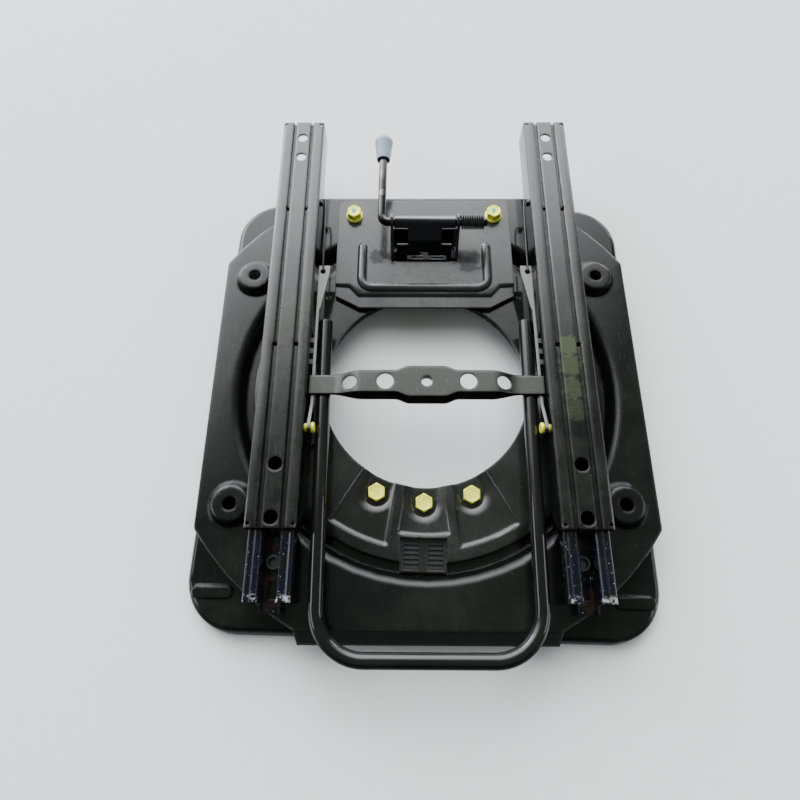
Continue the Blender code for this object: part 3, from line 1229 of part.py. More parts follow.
def latch_lever(name, side):
    far, tab_width = LEVER_END_Y, LEVER_TAB_WIDTH
    near = far - LEVER_TAB_LENGTH
    top, sheet = LEVER_TOP, LEVER_SHEET
    outline = arc((PIN_Y, PIN_Z), LEVER_FRONT_R, 80, 240, 8)
    outline += [(PIN_Y + LEVER_FRONT_R * 3, top - LEVER_HEIGHT * 1.2), (WINDOW_Y[1], top - LEVER_HEIGHT)]
    outline += [(near, top - LEVER_TIP_HEIGHT), (near + 2 * sheet, top - sheet), (near + 2 * sheet, top)]
    outline += [(PIN_Y + LEVER_FRONT_R * 3.2, top)]
    x_low, x_high = sorted((side * LEVER_X, side * (LEVER_X + sheet)))
    lever = solid(f"latch_lever_{name}", along_x(outline, x_low, x_high), BLACK_PAINT, BAR_AXIS)
    outer = LEVER_X + sheet
    tab = [(outer, near - sheet), (outer, far), (outer - tab_width, far), (outer - tab_width, far - tab_width * 0.7),
           (LEVER_X - sheet * 0.3, near - sheet)]
    tab = [(side * x, y) for x, y in tab]
    extra = [prism(tab, top - sheet * 0.8, top)]
    reach = RAIL_X - LOWER_HALF_WIDTH - SEAT_GAP
    for i in (-1, 0, 1):
        y = sum(WINDOW_Y) / 2 + i * LATCH_PITCH
        x_a, x_b = sorted((side * (LEVER_X + sheet / 2), side * reach))
        extra.append(box((x_a, y - TOOTH / 2, top - 2 * sheet), (x_b, y + TOOTH / 2, top - sheet)))
    tool(lever, "UNION", together(extra))
    hole = (side * (LEVER_X + sheet / 2), LEVER_HOLE_Y)
    pin = along_x(circle(PIN_R + PIN_CLEARANCE, 12, (PIN_Y, PIN_Z)), x_low - sheet, x_high + sheet)
    eye = cylinder(WIRE_R + WIRE_CLEARANCE, top - 3 * sheet, top + sheet, (hole[0] - side * sheet, hole[1]), 12)
    tool(lever, "DIFFERENCE", together([pin, eye]))
    smooth(lever, 30)


def pivot_pin(name, side):
    head_in = LEVER_X - SEAT_GAP - PIN_HEAD
    end = RAIL_X - LOWER_HALF_WIDTH - SEAT_GAP
    turn = Matrix.Rotation(side * math.pi / 2, 4, "Y")
    axis = Matrix.Translation((0, PIN_Y, PIN_Z)) @ turn
    profile = [(PIN_HEAD_R * 0.85, head_in), (PIN_HEAD_R, head_in + PIN_HEAD * 0.25), (PIN_HEAD_R, head_in + PIN_HEAD),
               (PIN_R, head_in + PIN_HEAD), (PIN_R, end)]
    smooth(solid(f"pivot_pin_{name}", turned(profile, 16, axis), YELLOW_ZINC, SLIDE))


def return_spring(name, side):
    x_rail = RAIL_X - RAIL_HALF_WIDTH
    x_eye = LEVER_X - LEVER_SHEET / 2
    z = LEVER_TOP + SEAT_GAP + WIRE_R
    bend = 2 * WIRE_R
    path = [
        (x_rail - SEAT_GAP, WIRE_HOOK_Y + SEAT_GAP + WIRE_R, z),
        (x_rail - HOOK_LUG - bend, WIRE_HOOK_Y + SEAT_GAP + WIRE_R, z),
        (x_eye + bend * 0.6, WIRE_HOOK_Y - bend * 4, z + bend * 0.4),
        (x_eye + bend * 0.2, WIRE_HOOK_Y - bend * 15, z + bend * 0.8),
        (x_eye, LEVER_HOLE_Y + bend * 2.5, z + bend * 0.4),
        (x_eye, LEVER_HOLE_Y + bend * 0.6, z + bend * 0.2),
        (x_eye, LEVER_HOLE_Y, z - bend * 0.6),
        (x_eye, LEVER_HOLE_Y, z - bend * 3),
    ]
    path = [(side * x, y, z) for x, y, z in path]
    smooth(solid(f"return_spring_{name}", tube(path, WIRE_R, 8), SPRING_STEEL, SLIDE))


base_plate()
retaining_ring()
lock_pads()
ring_bolts()
glide_rings()
upper_plate()
lock_plate()
lock_plate_bolts()
lock_rod()
lever_knob()
lock_tongue()
lever_spring()
towel_bar()
cross_strap()
for side_name, side_sign in SIDES:
    lower_rail(side_name, side_sign)
    upper_rail(side_name, side_sign)
    rail_fasteners(side_name, side_sign)
    for cage_place, cage_turn in (("inner", -side_sign), ("outer", side_sign)):
        ball_cage(side_name, side_sign, cage_place, cage_turn)
    latch_lever(side_name, side_sign)
    pivot_pin(side_name, side_sign)
    return_spring(side_name, side_sign)
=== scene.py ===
"""Looks of the seat swivel base.

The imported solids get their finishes, and finer pieces take the place of its bars, springs and screws.
"""

import math

import bmesh
import bpy
import numpy as np
from mathutils import Matrix, Vector


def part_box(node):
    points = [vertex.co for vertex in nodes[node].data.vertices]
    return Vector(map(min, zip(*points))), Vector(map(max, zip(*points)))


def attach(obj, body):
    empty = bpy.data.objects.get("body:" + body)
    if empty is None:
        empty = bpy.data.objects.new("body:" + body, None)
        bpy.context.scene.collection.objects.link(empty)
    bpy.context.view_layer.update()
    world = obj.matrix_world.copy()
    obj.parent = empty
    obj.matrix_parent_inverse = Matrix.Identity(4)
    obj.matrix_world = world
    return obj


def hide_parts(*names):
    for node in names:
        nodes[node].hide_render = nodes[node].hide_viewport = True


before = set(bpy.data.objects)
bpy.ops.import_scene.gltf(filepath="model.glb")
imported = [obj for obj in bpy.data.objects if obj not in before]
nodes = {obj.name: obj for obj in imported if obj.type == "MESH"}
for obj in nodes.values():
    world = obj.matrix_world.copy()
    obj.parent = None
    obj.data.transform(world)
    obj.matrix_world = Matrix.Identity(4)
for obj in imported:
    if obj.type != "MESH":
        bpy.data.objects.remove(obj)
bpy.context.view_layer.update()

# Base plate: deep-drawn 3 mm steel with a turned-down rim, the part that is bolted to the seat box.
# It carries a black electro-coat, glossy where it is clean and dulled by dust and handling.


def wire(tree, *sockets):
    """Links sockets two at a time: from, to."""
    for source, target in zip(sockets[::2], sockets[1::2]):
        tree.links.new(source, target)


def new_node(tree, kind, **settings):
    """Adds a shader node and sets its properties."""
    node = tree.nodes.new(kind)
    for name, value in settings.items():
        setattr(node, name, value)
    return node


def noise(tree, place, scale, detail=3.0, rough=0.5, stretch=(1, 1, 1)):
    """Noise on Object coordinates, stretched along an axis where asked."""
    mapping = new_node(tree, "ShaderNodeMapping")
    mapping.inputs["Scale"].default_value = stretch
    cloud = new_node(tree, "ShaderNodeTexNoise")
    cloud.inputs["Scale"].default_value = scale
    cloud.inputs["Detail"].default_value = detail
    cloud.inputs["Roughness"].default_value = rough
    wire(tree, place, mapping.inputs["Vector"], mapping.outputs["Vector"], cloud.inputs["Vector"])
    return cloud.outputs["Fac"]


def remap(tree, value, low, high, to_low=0.0, to_high=1.0, kind="LINEAR"):
    """Takes a value from low..high to to_low..to_high, clamped."""
    ramp = new_node(tree, "ShaderNodeMapRange", interpolation_type=kind)
    for name, number in (("From Min", low), ("From Max", high), ("To Min", to_low), ("To Max", to_high)):
        ramp.inputs[name].default_value = number
    wire(tree, value, ramp.inputs["Value"])
    return ramp.outputs["Result"]


def blend_colours(tree, factor, first, second):
    """Mix of two colours, each a socket or a colour."""
    mix = new_node(tree, "ShaderNodeMix", data_type="RGBA")
    wire(tree, factor, mix.inputs["Factor"])
    for name, colour in (("A", first), ("B", second)):
        socket = [s for s in mix.inputs if s.name == name and s.type == "RGBA"][0]
        if isinstance(colour, tuple):
            socket.default_value = (*colour, 1.0)
        else:
            wire(tree, colour, socket)
    return [s for s in mix.outputs if s.type == "RGBA"][0]


def combine(tree, operation, first, second, clamp=False):
    """Sum, product or other Math node of two values, each a socket or a number."""
    made = new_node(tree, "ShaderNodeMath", operation=operation, use_clamp=clamp)
    for socket, value in zip(made.inputs, (first, second)):
        if isinstance(value, float):
            socket.default_value = value
        else:
            wire(tree, value, socket)
    return made.outputs[0]


def times(tree, first, second):
    """Product of two values, each a socket or a number."""
    return combine(tree, "MULTIPLY", first, second)


def size_of(tree, value):
    """A value without its sign."""
    return combine(tree, "ABSOLUTE", value, 0.0)


def split(tree, vector):
    """X, Y and Z of a vector, by name."""
    parts = new_node(tree, "ShaderNodeSeparateXYZ")
    wire(tree, vector, parts.inputs[0])
    return parts.outputs


def relief(tree, height, normal=None, strength=1.0, distance=1.0):
    """Shading normal of a height, laid over another normal where one is given."""
    bump = new_node(tree, "ShaderNodeBump")
    bump.inputs["Strength"].default_value = strength
    bump.inputs["Distance"].default_value = distance
    wire(tree, height, bump.inputs["Height"])
    if normal is not None:
        wire(tree, normal, bump.inputs["Normal"])
    return bump.outputs[0]


def rounded_edges(tree, radius):
    """Shading normal of edges rounded to a radius."""
    bevel = new_node(tree, "ShaderNodeBevel", samples=4)
    bevel.inputs["Radius"].default_value = radius
    return bevel.outputs[0]


def contour(tree, place, scale, width):
    """Thin wandering lines, where a noise crosses its middle value: scratches and scribbles."""
    from_middle = combine(tree, "SUBTRACT", noise(tree, place, scale, 2.0, 0.6), 0.5)
    return remap(tree, size_of(tree, from_middle), 0.0, width, 1.0, 0.0)


def spot(tree, place, centre, radius, ragged):
    """Patch about a point (stain, scrape, painted shadow): 1 at its middle, 0 beyond its radius, edge broken
    by noise.
    """
    gap = new_node(tree, "ShaderNodeVectorMath", operation="DISTANCE")
    gap.inputs[1].default_value = centre
    wire(tree, place, gap.inputs[0])
    edge = times(tree, noise(tree, place, 2.2 / radius, 5.0, 0.65), ragged * 2 * radius)
    reach = combine(tree, "ADD", gap.outputs["Value"], edge)
    return remap(tree, reach, radius * (0.75 + ragged), radius * (1.05 + ragged), 1.0, 0.0)


def worn_edges(tree, place, surface):
    """Chipped edges: where a narrow bevel turns the normal away from the face's own."""
    turn = new_node(tree, "ShaderNodeVectorMath", operation="DOT_PRODUCT")
    wire(tree, rounded_edges(tree, 0.0008), turn.inputs[0], surface.outputs["True Normal"], turn.inputs[1])
    chips = remap(tree, noise(tree, place, 55.0, 4.0, 0.7), 0.52, 0.62)
    return times(tree, remap(tree, turn.outputs["Value"], 0.985, 0.86), chips)


def scratches(tree, place):
    """Two nets of scribbled lines, a coarse and a fine one, each kept to patches."""
    coarse_patch = remap(tree, noise(tree, place, 11.0, 2.0), 0.5, 0.58)
    fine_patch = remap(tree, noise(tree, place, 17.0, 2.0), 0.52, 0.6)
    coarse = times(tree, contour(tree, place, 38.0, 0.006), coarse_patch)
    fine = times(tree, contour(tree, place, 90.0, 0.008), fine_patch)
    return combine(tree, "MAXIMUM", coarse, fine)


def rubbed_streaks(tree, place):
    """Dull streaks along Y and along X, where other things slid over the coat."""
    along_y = remap(tree, noise(tree, place, 60.0, 3.0, 0.6, (9.0, 1.0, 1.0)), 0.6, 0.72)
    along_x = remap(tree, noise(tree, place, 70.0, 3.0, 0.6, (1.0, 8.0, 1.0)), 0.62, 0.74)
    return combine(tree, "ADD", along_y, along_x)


DUST, SPECK, BARE_EDGE = (0.055, 0.058, 0.048), (0.2, 0.2, 0.18), (0.2, 0.19, 0.17)
EDGE_WEAR = 0.36


def electro_coat(name, gloss=0.2, shine=0.5, dust=0.2, scuffs=0.4, scribble=0.0, edge_radius=0.0014,
                 stains_and_shadows=(), tint=(0.0042, 0.0047, 0.0042), painted_top_highlight=0.0, painted_top_highlight_colour=(0.05, 0.052, 0.046)):
    """Black electro-coat with cloudy gloss, orange peel, dust, worn edges, scuffs, scratches, stains and
    painted shade.

    gloss is the roughness and shine the mirror's strength.
    painted_top_highlight is a painted highlight, an even grey layer on faces that look up.
    A patch in stains_and_shadows is a centre, a radius, a colour, its strength and how far it dulls the coat;
    some are stains, some painted shadows. Faces that look to -Y mirror little, because the photograph's
    surroundings are dark in front.
    """
    made = bpy.data.materials.new(name)
    made.use_nodes = True
    tree = made.node_tree
    shader = tree.nodes["Principled BSDF"]
    place = new_node(tree, "ShaderNodeTexCoord").outputs["Object"]
    surface = new_node(tree, "ShaderNodeNewGeometry")
    facing = split(tree, surface.outputs["Normal"])

    clouds = remap(tree, noise(tree, place, 14.0, 5.0, 0.65), 0.42, 0.72)
    settled = times(tree, remap(tree, facing["Z"], 0.5, 1.0), clouds)
    coat = blend_colours(tree, times(tree, settled, dust), tint, DUST)
    # Faces that look up get a lighter grey: a painted highlight.
    coat = blend_colours(tree, times(tree, remap(tree, facing["Z"], 0.9, 0.985), painted_top_highlight), coat, painted_top_highlight_colour)
    specks = remap(tree, noise(tree, place, 420.0, 2.0, 0.5), 0.73, 0.76)
    coat = blend_colours(tree, times(tree, specks, dust), coat, SPECK)
    coat = blend_colours(tree, times(tree, worn_edges(tree, place, surface), EDGE_WEAR), coat, BARE_EDGE)

    front_dull = remap(tree, facing["Y"], -0.5, -0.25, 0.08, 1.0)
    marks = times(tree, scratches(tree, place), scribble)
    unmarked = combine(tree, "SUBTRACT", shine, times(tree, marks, 0.9 * shine), clamp=True)
    mirror = times(tree, unmarked, front_dull)
    cloudy = remap(tree, noise(tree, place, 9.0, 4.0, 0.6), 0.3, 0.7, gloss * 0.8, gloss * 1.35)
    rubbed = times(tree, rubbed_streaks(tree, place), scuffs)
    dulled = combine(tree, "ADD", rubbed, times(tree, settled, dust * 0.6))
    rough = combine(tree, "ADD", times(tree, dulled, 0.5), cloudy, clamp=True)
    # Each patch is a stain or a painted shadow, darkening and dulling the coat about its centre.
    for centre, radius, colour, strength, dulling in stains_and_shadows:
        stain_and_shadow = spot(tree, place, centre, radius, 1.1)
        coat = blend_colours(tree, times(tree, stain_and_shadow, strength), coat, colour)
        rough = combine(tree, "ADD", rough, times(tree, stain_and_shadow, dulling), clamp=True)
        mirror = times(tree, mirror, remap(tree, stain_and_shadow, 0.0, 1.0, 1.0, max(0.0, 1 - 2 * dulling)))

    edges = rounded_edges(tree, edge_radius)
    orange_peel = relief(tree, noise(tree, place, 240.0, 2.0, 0.5), edges, 0.1, 0.0005)
    dents = relief(tree, noise(tree, place, 16.0, 2.0, 0.5), orange_peel, 0.16, 0.001)
    wire(tree, coat, shader.inputs["Base Color"], rough, shader.inputs["Roughness"],
         mirror, shader.inputs["Specular IOR Level"], dents, shader.inputs["Normal"],
         times(tree, front_dull, 0.6 * shine), shader.inputs["Coat Weight"])
    shader.inputs["Coat Roughness"].default_value = gloss * 0.5
    shader.inputs["IOR"].default_value = 1.46
    return made


def reopen(made):
    """Tree, shader, Object coordinates and their X, Y and Z, to add to a finish that is made."""
    tree = made.node_tree
    place = new_node(tree, "ShaderNodeTexCoord").outputs["Object"]
    return tree, tree.nodes["Principled BSDF"], place, split(tree, place)


def source_of(shader, name):
    """What feeds a socket of the shader."""
    return shader.inputs[name].links[0].from_socket


def smooth_shading(piece, angle=32.0):
    """Shades shallow edges smoothly: triangles merged, split at sharp edges, large faces kept flat."""
    piece.data.shade_smooth()
    weld = piece.modifiers.new("Merged", "WELD")
    weld.merge_threshold = 0.00001
    sharp = piece.modifiers.new("Sharp edges", "EDGE_SPLIT")
    sharp.split_angle = math.radians(angle)
    even = piece.modifiers.new("Flat faces", "WEIGHTED_NORMAL")
    even.keep_sharp = True
    even.weight = 100


def dress(finish, *names, angle=32.0):
    """Gives CAD nodes their finish."""
    for name in names:
        piece = nodes[name]
        piece.data.materials.clear()
        piece.data.materials.append(finish)
        smooth_shading(piece, angle)


base_coat = electro_coat("base_electro_coat", gloss=0.12, shine=0.3, dust=0.16, edge_radius=0.0022)
dress(base_coat, "base_plate")

# Ring, its pads and its bolts: a pressed ring clamps the turning plate through six M10 screws.
# The ring has the plate's black coat, the pads are moulded rubber and the screws are yellow zinc plated.

SIDES, ENDS = ("left", "right"), ("front", "rear")
SHIFT_Y = -0.02535
# A dark, dulled patch on the ring under the lock window is painted shadow.
RING_WINDOW_SHADOW = (0.004, 0.004, 0.005)
ring_coat = electro_coat("ring_electro_coat", gloss=0.09, dust=0.3, scuffs=0.3, edge_radius=0.0026,
                         tint=(0.009, 0.01, 0.0085),
                         stains_and_shadows=(((0.0, 0.171 + SHIFT_Y, 0.0275), 0.052, RING_WINDOW_SHADOW, 0.9, 0.5),))
dress(ring_coat, "retaining_ring", angle=38.0)


def plain_finish(name, colour, roughness, metallic=0.0, variation=0.25, grain=300.0, depth=0.0003):
    """One-material finish whose colour, gloss and relief all vary with noise."""
    made = bpy.data.materials.new(name)
    made.use_nodes = True
    tree = made.node_tree
    shader = tree.nodes["Principled BSDF"]
    place = new_node(tree, "ShaderNodeTexCoord").outputs["Object"]
    darker = tuple(c * (1 - variation) for c in colour)
    lighter = tuple(min(1.0, c * (1 + variation)) for c in colour)
    cloud = remap(tree, noise(tree, place, 90.0, 4.0, 0.6), 0.35, 0.65)
    fine = noise(tree, place, grain, 3.0, 0.6)
    uneven = remap(tree, fine, 0.3, 0.7, roughness * 0.8, min(1.0, roughness * 1.3))
    wire(tree, blend_colours(tree, cloud, darker, lighter), shader.inputs["Base Color"],
         uneven, shader.inputs["Roughness"],
         relief(tree, fine, strength=0.35, distance=depth), shader.inputs["Normal"])
    shader.inputs["Metallic"].default_value = metallic
    return made


def yellow_zinc_finish():
    """Yellow chromate on zinc: gold that drifts to green and pink over a few millimetres, on a cast grain."""
    made = bpy.data.materials.new("yellow_chromate")
    made.use_nodes = True
    tree = made.node_tree
    shader = tree.nodes["Principled BSDF"]
    place = new_node(tree, "ShaderNodeTexCoord").outputs["Object"]
    cloud = remap(tree, noise(tree, place, 160.0, 4.0, 0.6), 0.35, 0.65)
    gold = blend_colours(tree, cloud, (0.9, 0.84, 0.05), (1.0, 0.98, 0.12))
    green_drift = remap(tree, noise(tree, place, 210.0, 2.0), 0.52, 0.66)
    pink_drift = remap(tree, noise(tree, place, 330.0, 2.0), 0.58, 0.7)
    green = blend_colours(tree, green_drift, gold, (0.8, 0.9, 0.1))
    pink = blend_colours(tree, pink_drift, green, (0.88, 0.74, 0.3))
    grime = remap(tree, noise(tree, place, 420.0, 4.0, 0.7), 0.54, 0.72)
    fine = noise(tree, place, 600.0, 4.0, 0.65)
    wire(tree, blend_colours(tree, grime, pink, (0.2, 0.18, 0.1)), shader.inputs["Base Color"],
         remap(tree, fine, 0.3, 0.7, 0.34, 0.52), shader.inputs["Roughness"],
         relief(tree, fine, strength=0.5, distance=0.0005), shader.inputs["Normal"])
    shader.inputs["Metallic"].default_value = 0.25
    return made


def grid_piece(name, points, finish, body, wrap=False, angle=30.0):
    """Piece from a grid of points (rows, columns, 3) whose columns join round; wrap joins the rows too.

    Face i, j has the corners p[i, j], p[i, j + 1], p[i + 1, j + 1], p[i + 1, j], columns counted round.
    Without wrap, one face closes the first row and one the last.
    """
    rows, columns = points.shape[:2]
    index = np.arange(rows * columns).reshape(rows, columns)
    below = index if wrap else index[:-1]
    above = np.roll(index, -1, axis=0) if wrap else index[1:]
    corners = [below, np.roll(below, -1, 1), np.roll(above, -1, 1), above]
    faces = np.stack(corners, axis=-1).reshape(-1, 4).tolist()
    if not wrap:
        faces += [index[0].tolist(), index[-1].tolist()]
    mesh = bpy.data.meshes.new(name)
    mesh.from_pydata(points.reshape(-1, 3).tolist(), [], faces)
    shape = bmesh.new()
    shape.from_mesh(mesh)
    bmesh.ops.recalc_face_normals(shape, faces=shape.faces)
    shape.to_mesh(mesh)
    shape.free()
    mesh.materials.append(finish)
    piece = bpy.data.objects.new(name, mesh)
    bpy.context.scene.collection.objects.link(piece)
    smooth_shading(piece, angle)
    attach(piece, body)
    return piece


def around(steps):
    """Angles of a full turn, in equal steps."""
    return np.arange(steps) / steps * math.tau


def corners_of(node):
    """Lowest corner, highest corner and middle of a node's box."""
    low, high = (np.array(corner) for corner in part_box(node))
    return low, high, (low + high) / 2


SCREW_COLUMNS = 96
CHAMFER_DROPS = (0.32, 0.16, 0.13, 0.1, 0.075, 0.05, 0.03, 0.012, 0.0)
TOP_DISH = ((0.9, 0.0), (0.82, 0.0001), (0.74, 0.0003), (0.3, 0.0003))


def hex_screw(name, node, body, flats, head, shank, flange=0.0, flange_height=0.0):
    """Hexagon screw on a node's place: shank, flange and head in one surface. Returns the height of its top.

    At a height h the head's radius is the lesser of the hexagon's, flats / 2 / cos(t), t the angle from the
    nearest flat, and the chamfer's, 0.94 flats / 2 + 1.73 (top - h). The top is dished by 0.3 mm.
    """
    low, high, middle = corners_of(node)
    top, foot = high[2], high[2] - head
    half = flats / 2
    turn = around(SCREW_COLUMNS)
    from_flat = np.abs((turn + math.pi / 6) % (math.pi / 3) - math.pi / 6)
    hexagon = np.minimum(half / np.cos(from_flat), half * 1.147)
    rows = [(low[2], shank * 0.86), (low[2] + shank * 0.2, shank), (foot, shank)]
    if flange:
        rows += [(foot, flange - 0.0006), (foot + 0.0003, flange), (foot + flange_height * 0.5, flange)]
        rows += [(foot + flange_height * 0.8, flange * 0.985), (foot + flange_height, flange * 0.9)]
    radii = [np.full(SCREW_COLUMNS, radius) for _, radius in rows]
    heights = [height for height, _ in rows]
    foot_height = foot + flange_height + 0.0002
    radii += [hexagon * 0.985, hexagon]
    heights += [foot_height, foot_height + 0.0004]
    for drop in (share * flats for share in CHAMFER_DROPS):
        if top - drop > heights[-1]:
            radii.append(np.minimum(hexagon, half * 0.94 + 1.73 * drop))
            heights.append(top - drop)
    for share, dip in TOP_DISH:
        radii.append(np.full(SCREW_COLUMNS, half * share))
        heights.append(top - dip)
    radii = np.array(radii)
    points = np.empty((*radii.shape, 3))
    points[..., :2] = middle[:2] + radii[..., None] * np.stack([np.cos(turn), np.sin(turn)], axis=-1)[None]
    points[..., 2] = np.array(heights)[:, None]
    piece = grid_piece(name, points, zinc, body, angle=24.0)
    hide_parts(node)
    return top


RING_FLATS, RING_HEAD, RING_SHANK_R = 0.0157, 0.006, 0.0049
zinc = yellow_zinc_finish()
for number in range(1, 7):
    hex_screw(f"ring_screw_{number}", f"ring_bolt_{number}", "base", RING_FLATS, RING_HEAD, RING_SHANK_R)

pad_rubber = plain_finish("pad_rubber", (0.008, 0.008, 0.009), 0.5, grain=500.0)
dress(pad_rubber, *[f"lock_pad_{end}_{side}" for end in ENDS for side in SIDES], angle=20.0)

glide_plastic = plain_finish("greased_plastic", (0.02, 0.022, 0.035), 0.26, grain=120.0)
dress(glide_plastic, "glide_ring_lower", "glide_ring_upper")

# Turning plate: a pressed dish that carries the seat slides on its rim, with four raised bosses.
# Same black coat as the base; its folded flanges stiffen the edge.

PLATE_TOP, WELL_EDGE_R, FOLD_DEPTH, FOLD_LEAN = 0.038, 0.2015, 0.006, 0.32


def lean_fold(made):
    """Fold round the well, as relief that lays it back: height lean (top - z) over the fold's depth."""
    tree, shader, place, at = reopen(made)
    flat = new_node(tree, "ShaderNodeCombineXYZ")
    reach = new_node(tree, "ShaderNodeVectorMath", operation="DISTANCE")
    reach.inputs[1].default_value = (0.0, SHIFT_Y, 0.0)
    wire(tree, at["X"], flat.inputs["X"], at["Y"], flat.inputs["Y"], flat.outputs[0], reach.inputs[0])
    inside = remap(tree, reach.outputs["Value"], WELL_EDGE_R + 0.002, WELL_EDGE_R + 0.004, 1.0, 0.0)
    below = remap(tree, at["Z"], PLATE_TOP, PLATE_TOP - FOLD_DEPTH, 0.0, FOLD_LEAN * FOLD_DEPTH)
    wire(tree, relief(tree, times(tree, below, inside), source_of(shader, "Normal")), shader.inputs["Normal"])


plate_coat = electro_coat("plate_electro_coat", gloss=0.1, shine=0.36, dust=0.14, scribble=0.35,
                          edge_radius=0.0042)
lean_fold(plate_coat)
dress(plate_coat, "upper_plate")

# Lock plate with its window, bead and ears, screwed down at the rear of the turning plate.
# Its top is scribbled with scratches, with painted shadow, dark and dull, in front of the lever's bend and
# its spring, and each screw carries a dab of green paint.

LOCK_PLATE_TOP = 0.0413
# Two dark, dulled patches in front of the lever's bend and of its spring are painted shadow.
LOCK_LEVER_SHADOW = (0.012, 0.013, 0.013)
lock_coat = electro_coat("lock_electro_coat", gloss=0.12, dust=0.5, scribble=1.0, edge_radius=0.0018,
                         tint=(0.02, 0.022, 0.022),
                         stains_and_shadows=(((-0.052, 0.128, LOCK_PLATE_TOP), 0.011, LOCK_LEVER_SHADOW, 0.9, 0.3),
                                 ((0.052, 0.118, LOCK_PLATE_TOP), 0.012, LOCK_LEVER_SHADOW, 0.9, 0.25)))
dress(lock_coat, "lock_plate")

LOCK_FLATS, LOCK_HEAD, LOCK_SHANK_R, LOCK_FLANGE_R, LOCK_FLANGE_HEIGHT = 0.015, 0.01, 0.0039, 0.0098, 0.0026
DAB_ROWS, DAB_COLUMNS, DAB_HALF_WIDTH, DAB_HALF_LENGTH, DAB_RISE = 10, 40, 0.0021, 0.0034, 0.00042
DAB_SHIFT_X, DAB_SHIFT_Y, DISH_FLOOR = -0.0006, 0.0004, 0.00028
dab_paint = plain_finish("green_paint", (0.02, 0.42, 0.26), 0.45, variation=0.3, grain=600.0)
for side in SIDES:
    node = f"lock_plate_bolt_{side}"
    top = hex_screw(f"lock_plate_screw_{side}", node, "turntable", LOCK_FLATS, LOCK_HEAD, LOCK_SHANK_R,
                    LOCK_FLANGE_R, LOCK_FLANGE_HEIGHT)
    middle = corners_of(node)[2]
    turn = around(DAB_COLUMNS)
    share = np.linspace(0.06, 1.0, DAB_ROWS)[:, None]
    uneven = 1 + 0.22 * np.sin(3 * turn + 1) + 0.12 * np.sin(5 * turn)
    dab = np.empty((DAB_ROWS + 1, DAB_COLUMNS, 3))
    dab[:-1, :, 0] = middle[0] + DAB_SHIFT_X + DAB_HALF_WIDTH * share * uneven * np.cos(turn)
    dab[:-1, :, 1] = middle[1] + DAB_SHIFT_Y + DAB_HALF_LENGTH * share * uneven * np.sin(turn)
    dab[:-1, :, 2] = top - DISH_FLOOR + DAB_RISE * np.sqrt(np.clip(1.02 - share**2, 0, 1))
    dab[-1, :, :2] = dab[-2, :, :2]
    dab[-1, :, 2] = top - DISH_FLOOR - 0.00001
    grid_piece(f"paint_dab_{side}", dab, dab_paint, "turntable")

# Seat slides: rolled sections with balls between them, greased on the tracks and rubbed by the seat.
# Coated black; the grease has collected dust and fluff, mostly at the front ends.

RAIL_X, RAIL_TOP = 0.140635, 0.0733
SHOULDER_FROM, SHOULDER_TO, SHOULDER_ROLL = 0.0122, 0.0238, 0.0006
RAIL_BROWN, RAIL_GREEN = (0.032, 0.036, 0.024), (0.045, 0.062, 0.026)
moss = [((0.141, y + SHIFT_Y, RAIL_TOP), radius, RAIL_GREEN, strength, dulling)
        for y, radius, strength, dulling in ((0.028, 0.0125, 0.75, 0.2), (0.006, 0.0125, 0.65, 0.16),
                                             (-0.018, 0.012, 0.45, 0.12), (-0.04, 0.011, 0.3, 0.1))]
rail_coat = electro_coat("rail_electro_coat", gloss=0.09, dust=0.3, scuffs=0.4, shine=0.55, scribble=0.3,
                         edge_radius=0.0036,
                         stains_and_shadows=(*moss, ((-0.142, 0.06 + SHIFT_Y, RAIL_TOP), 0.03, RAIL_BROWN, 0.35, 0.08)))


def roll_shoulders(made):
    """Rolled shoulders of a slide, as relief: height -roll t^2, t from -1 to 1 across each shoulder."""
    tree, shader, place, at = reopen(made)
    off_side = combine(tree, "SUBTRACT", size_of(tree, at["X"]), RAIL_X)
    across = remap(tree, size_of(tree, off_side), SHOULDER_FROM, SHOULDER_TO, -1.0, 1.0)
    height = times(tree, times(tree, across, across), -SHOULDER_ROLL)
    wire(tree, relief(tree, height, source_of(shader, "Normal")), shader.inputs["Normal"])


roll_shoulders(rail_coat)
dress(rail_coat, "upper_rail_left", "upper_rail_right", angle=24.0)

LIP_END_Y = -0.214 + SHIFT_Y
GREASE_FROM_Y, GREASE_TO_Y = -0.165, -0.19
TRACK_GREASE, FLUFF = (0.003, 0.0035, 0.009), (0.42, 0.43, 0.45)
BRIGHT_CUT, RUST = (0.26, 0.27, 0.27), (0.024, 0.012, 0.009)


def track_finish():
    """Lower rails: coat under dark blue grease with pale fluff, and bright metal at the lips' front ends."""
    made = electro_coat("track_electro_coat", gloss=0.12, shine=0.35, edge_radius=0.002, dust=0.1, scuffs=0.5)
    tree, shader, place, at = reopen(made)
    front = remap(tree, at["Y"], GREASE_FROM_Y, GREASE_TO_Y)
    coat = source_of(shader, "Base Color")
    grease = times(tree, front, remap(tree, noise(tree, place, 60.0, 4.0, 0.6), 0.38, 0.5))
    coat = blend_colours(tree, grease, coat, TRACK_GREASE)
    fluff = times(tree, front, remap(tree, noise(tree, place, 640.0, 2.0, 0.5), 0.71, 0.74))
    coat = blend_colours(tree, fluff, coat, FLUFF)
    lip_top = remap(tree, at["Z"], 0.0612, 0.0628)
    lip_end = remap(tree, at["Y"], LIP_END_Y + 0.008, LIP_END_Y + 0.004)
    torn = remap(tree, noise(tree, place, 210.0, 4.0, 0.65), 0.5, 0.58)
    coat = blend_colours(tree, times(tree, times(tree, lip_end, lip_top), torn), coat, BRIGHT_CUT)
    low_down = remap(tree, at["Z"], 0.047, 0.043)
    patches = remap(tree, noise(tree, place, 70.0, 4.0, 0.65), 0.47, 0.6)
    coat = blend_colours(tree, times(tree, times(tree, front, low_down), patches), coat, RUST)
    wire(tree, coat, shader.inputs["Base Color"])
    return made


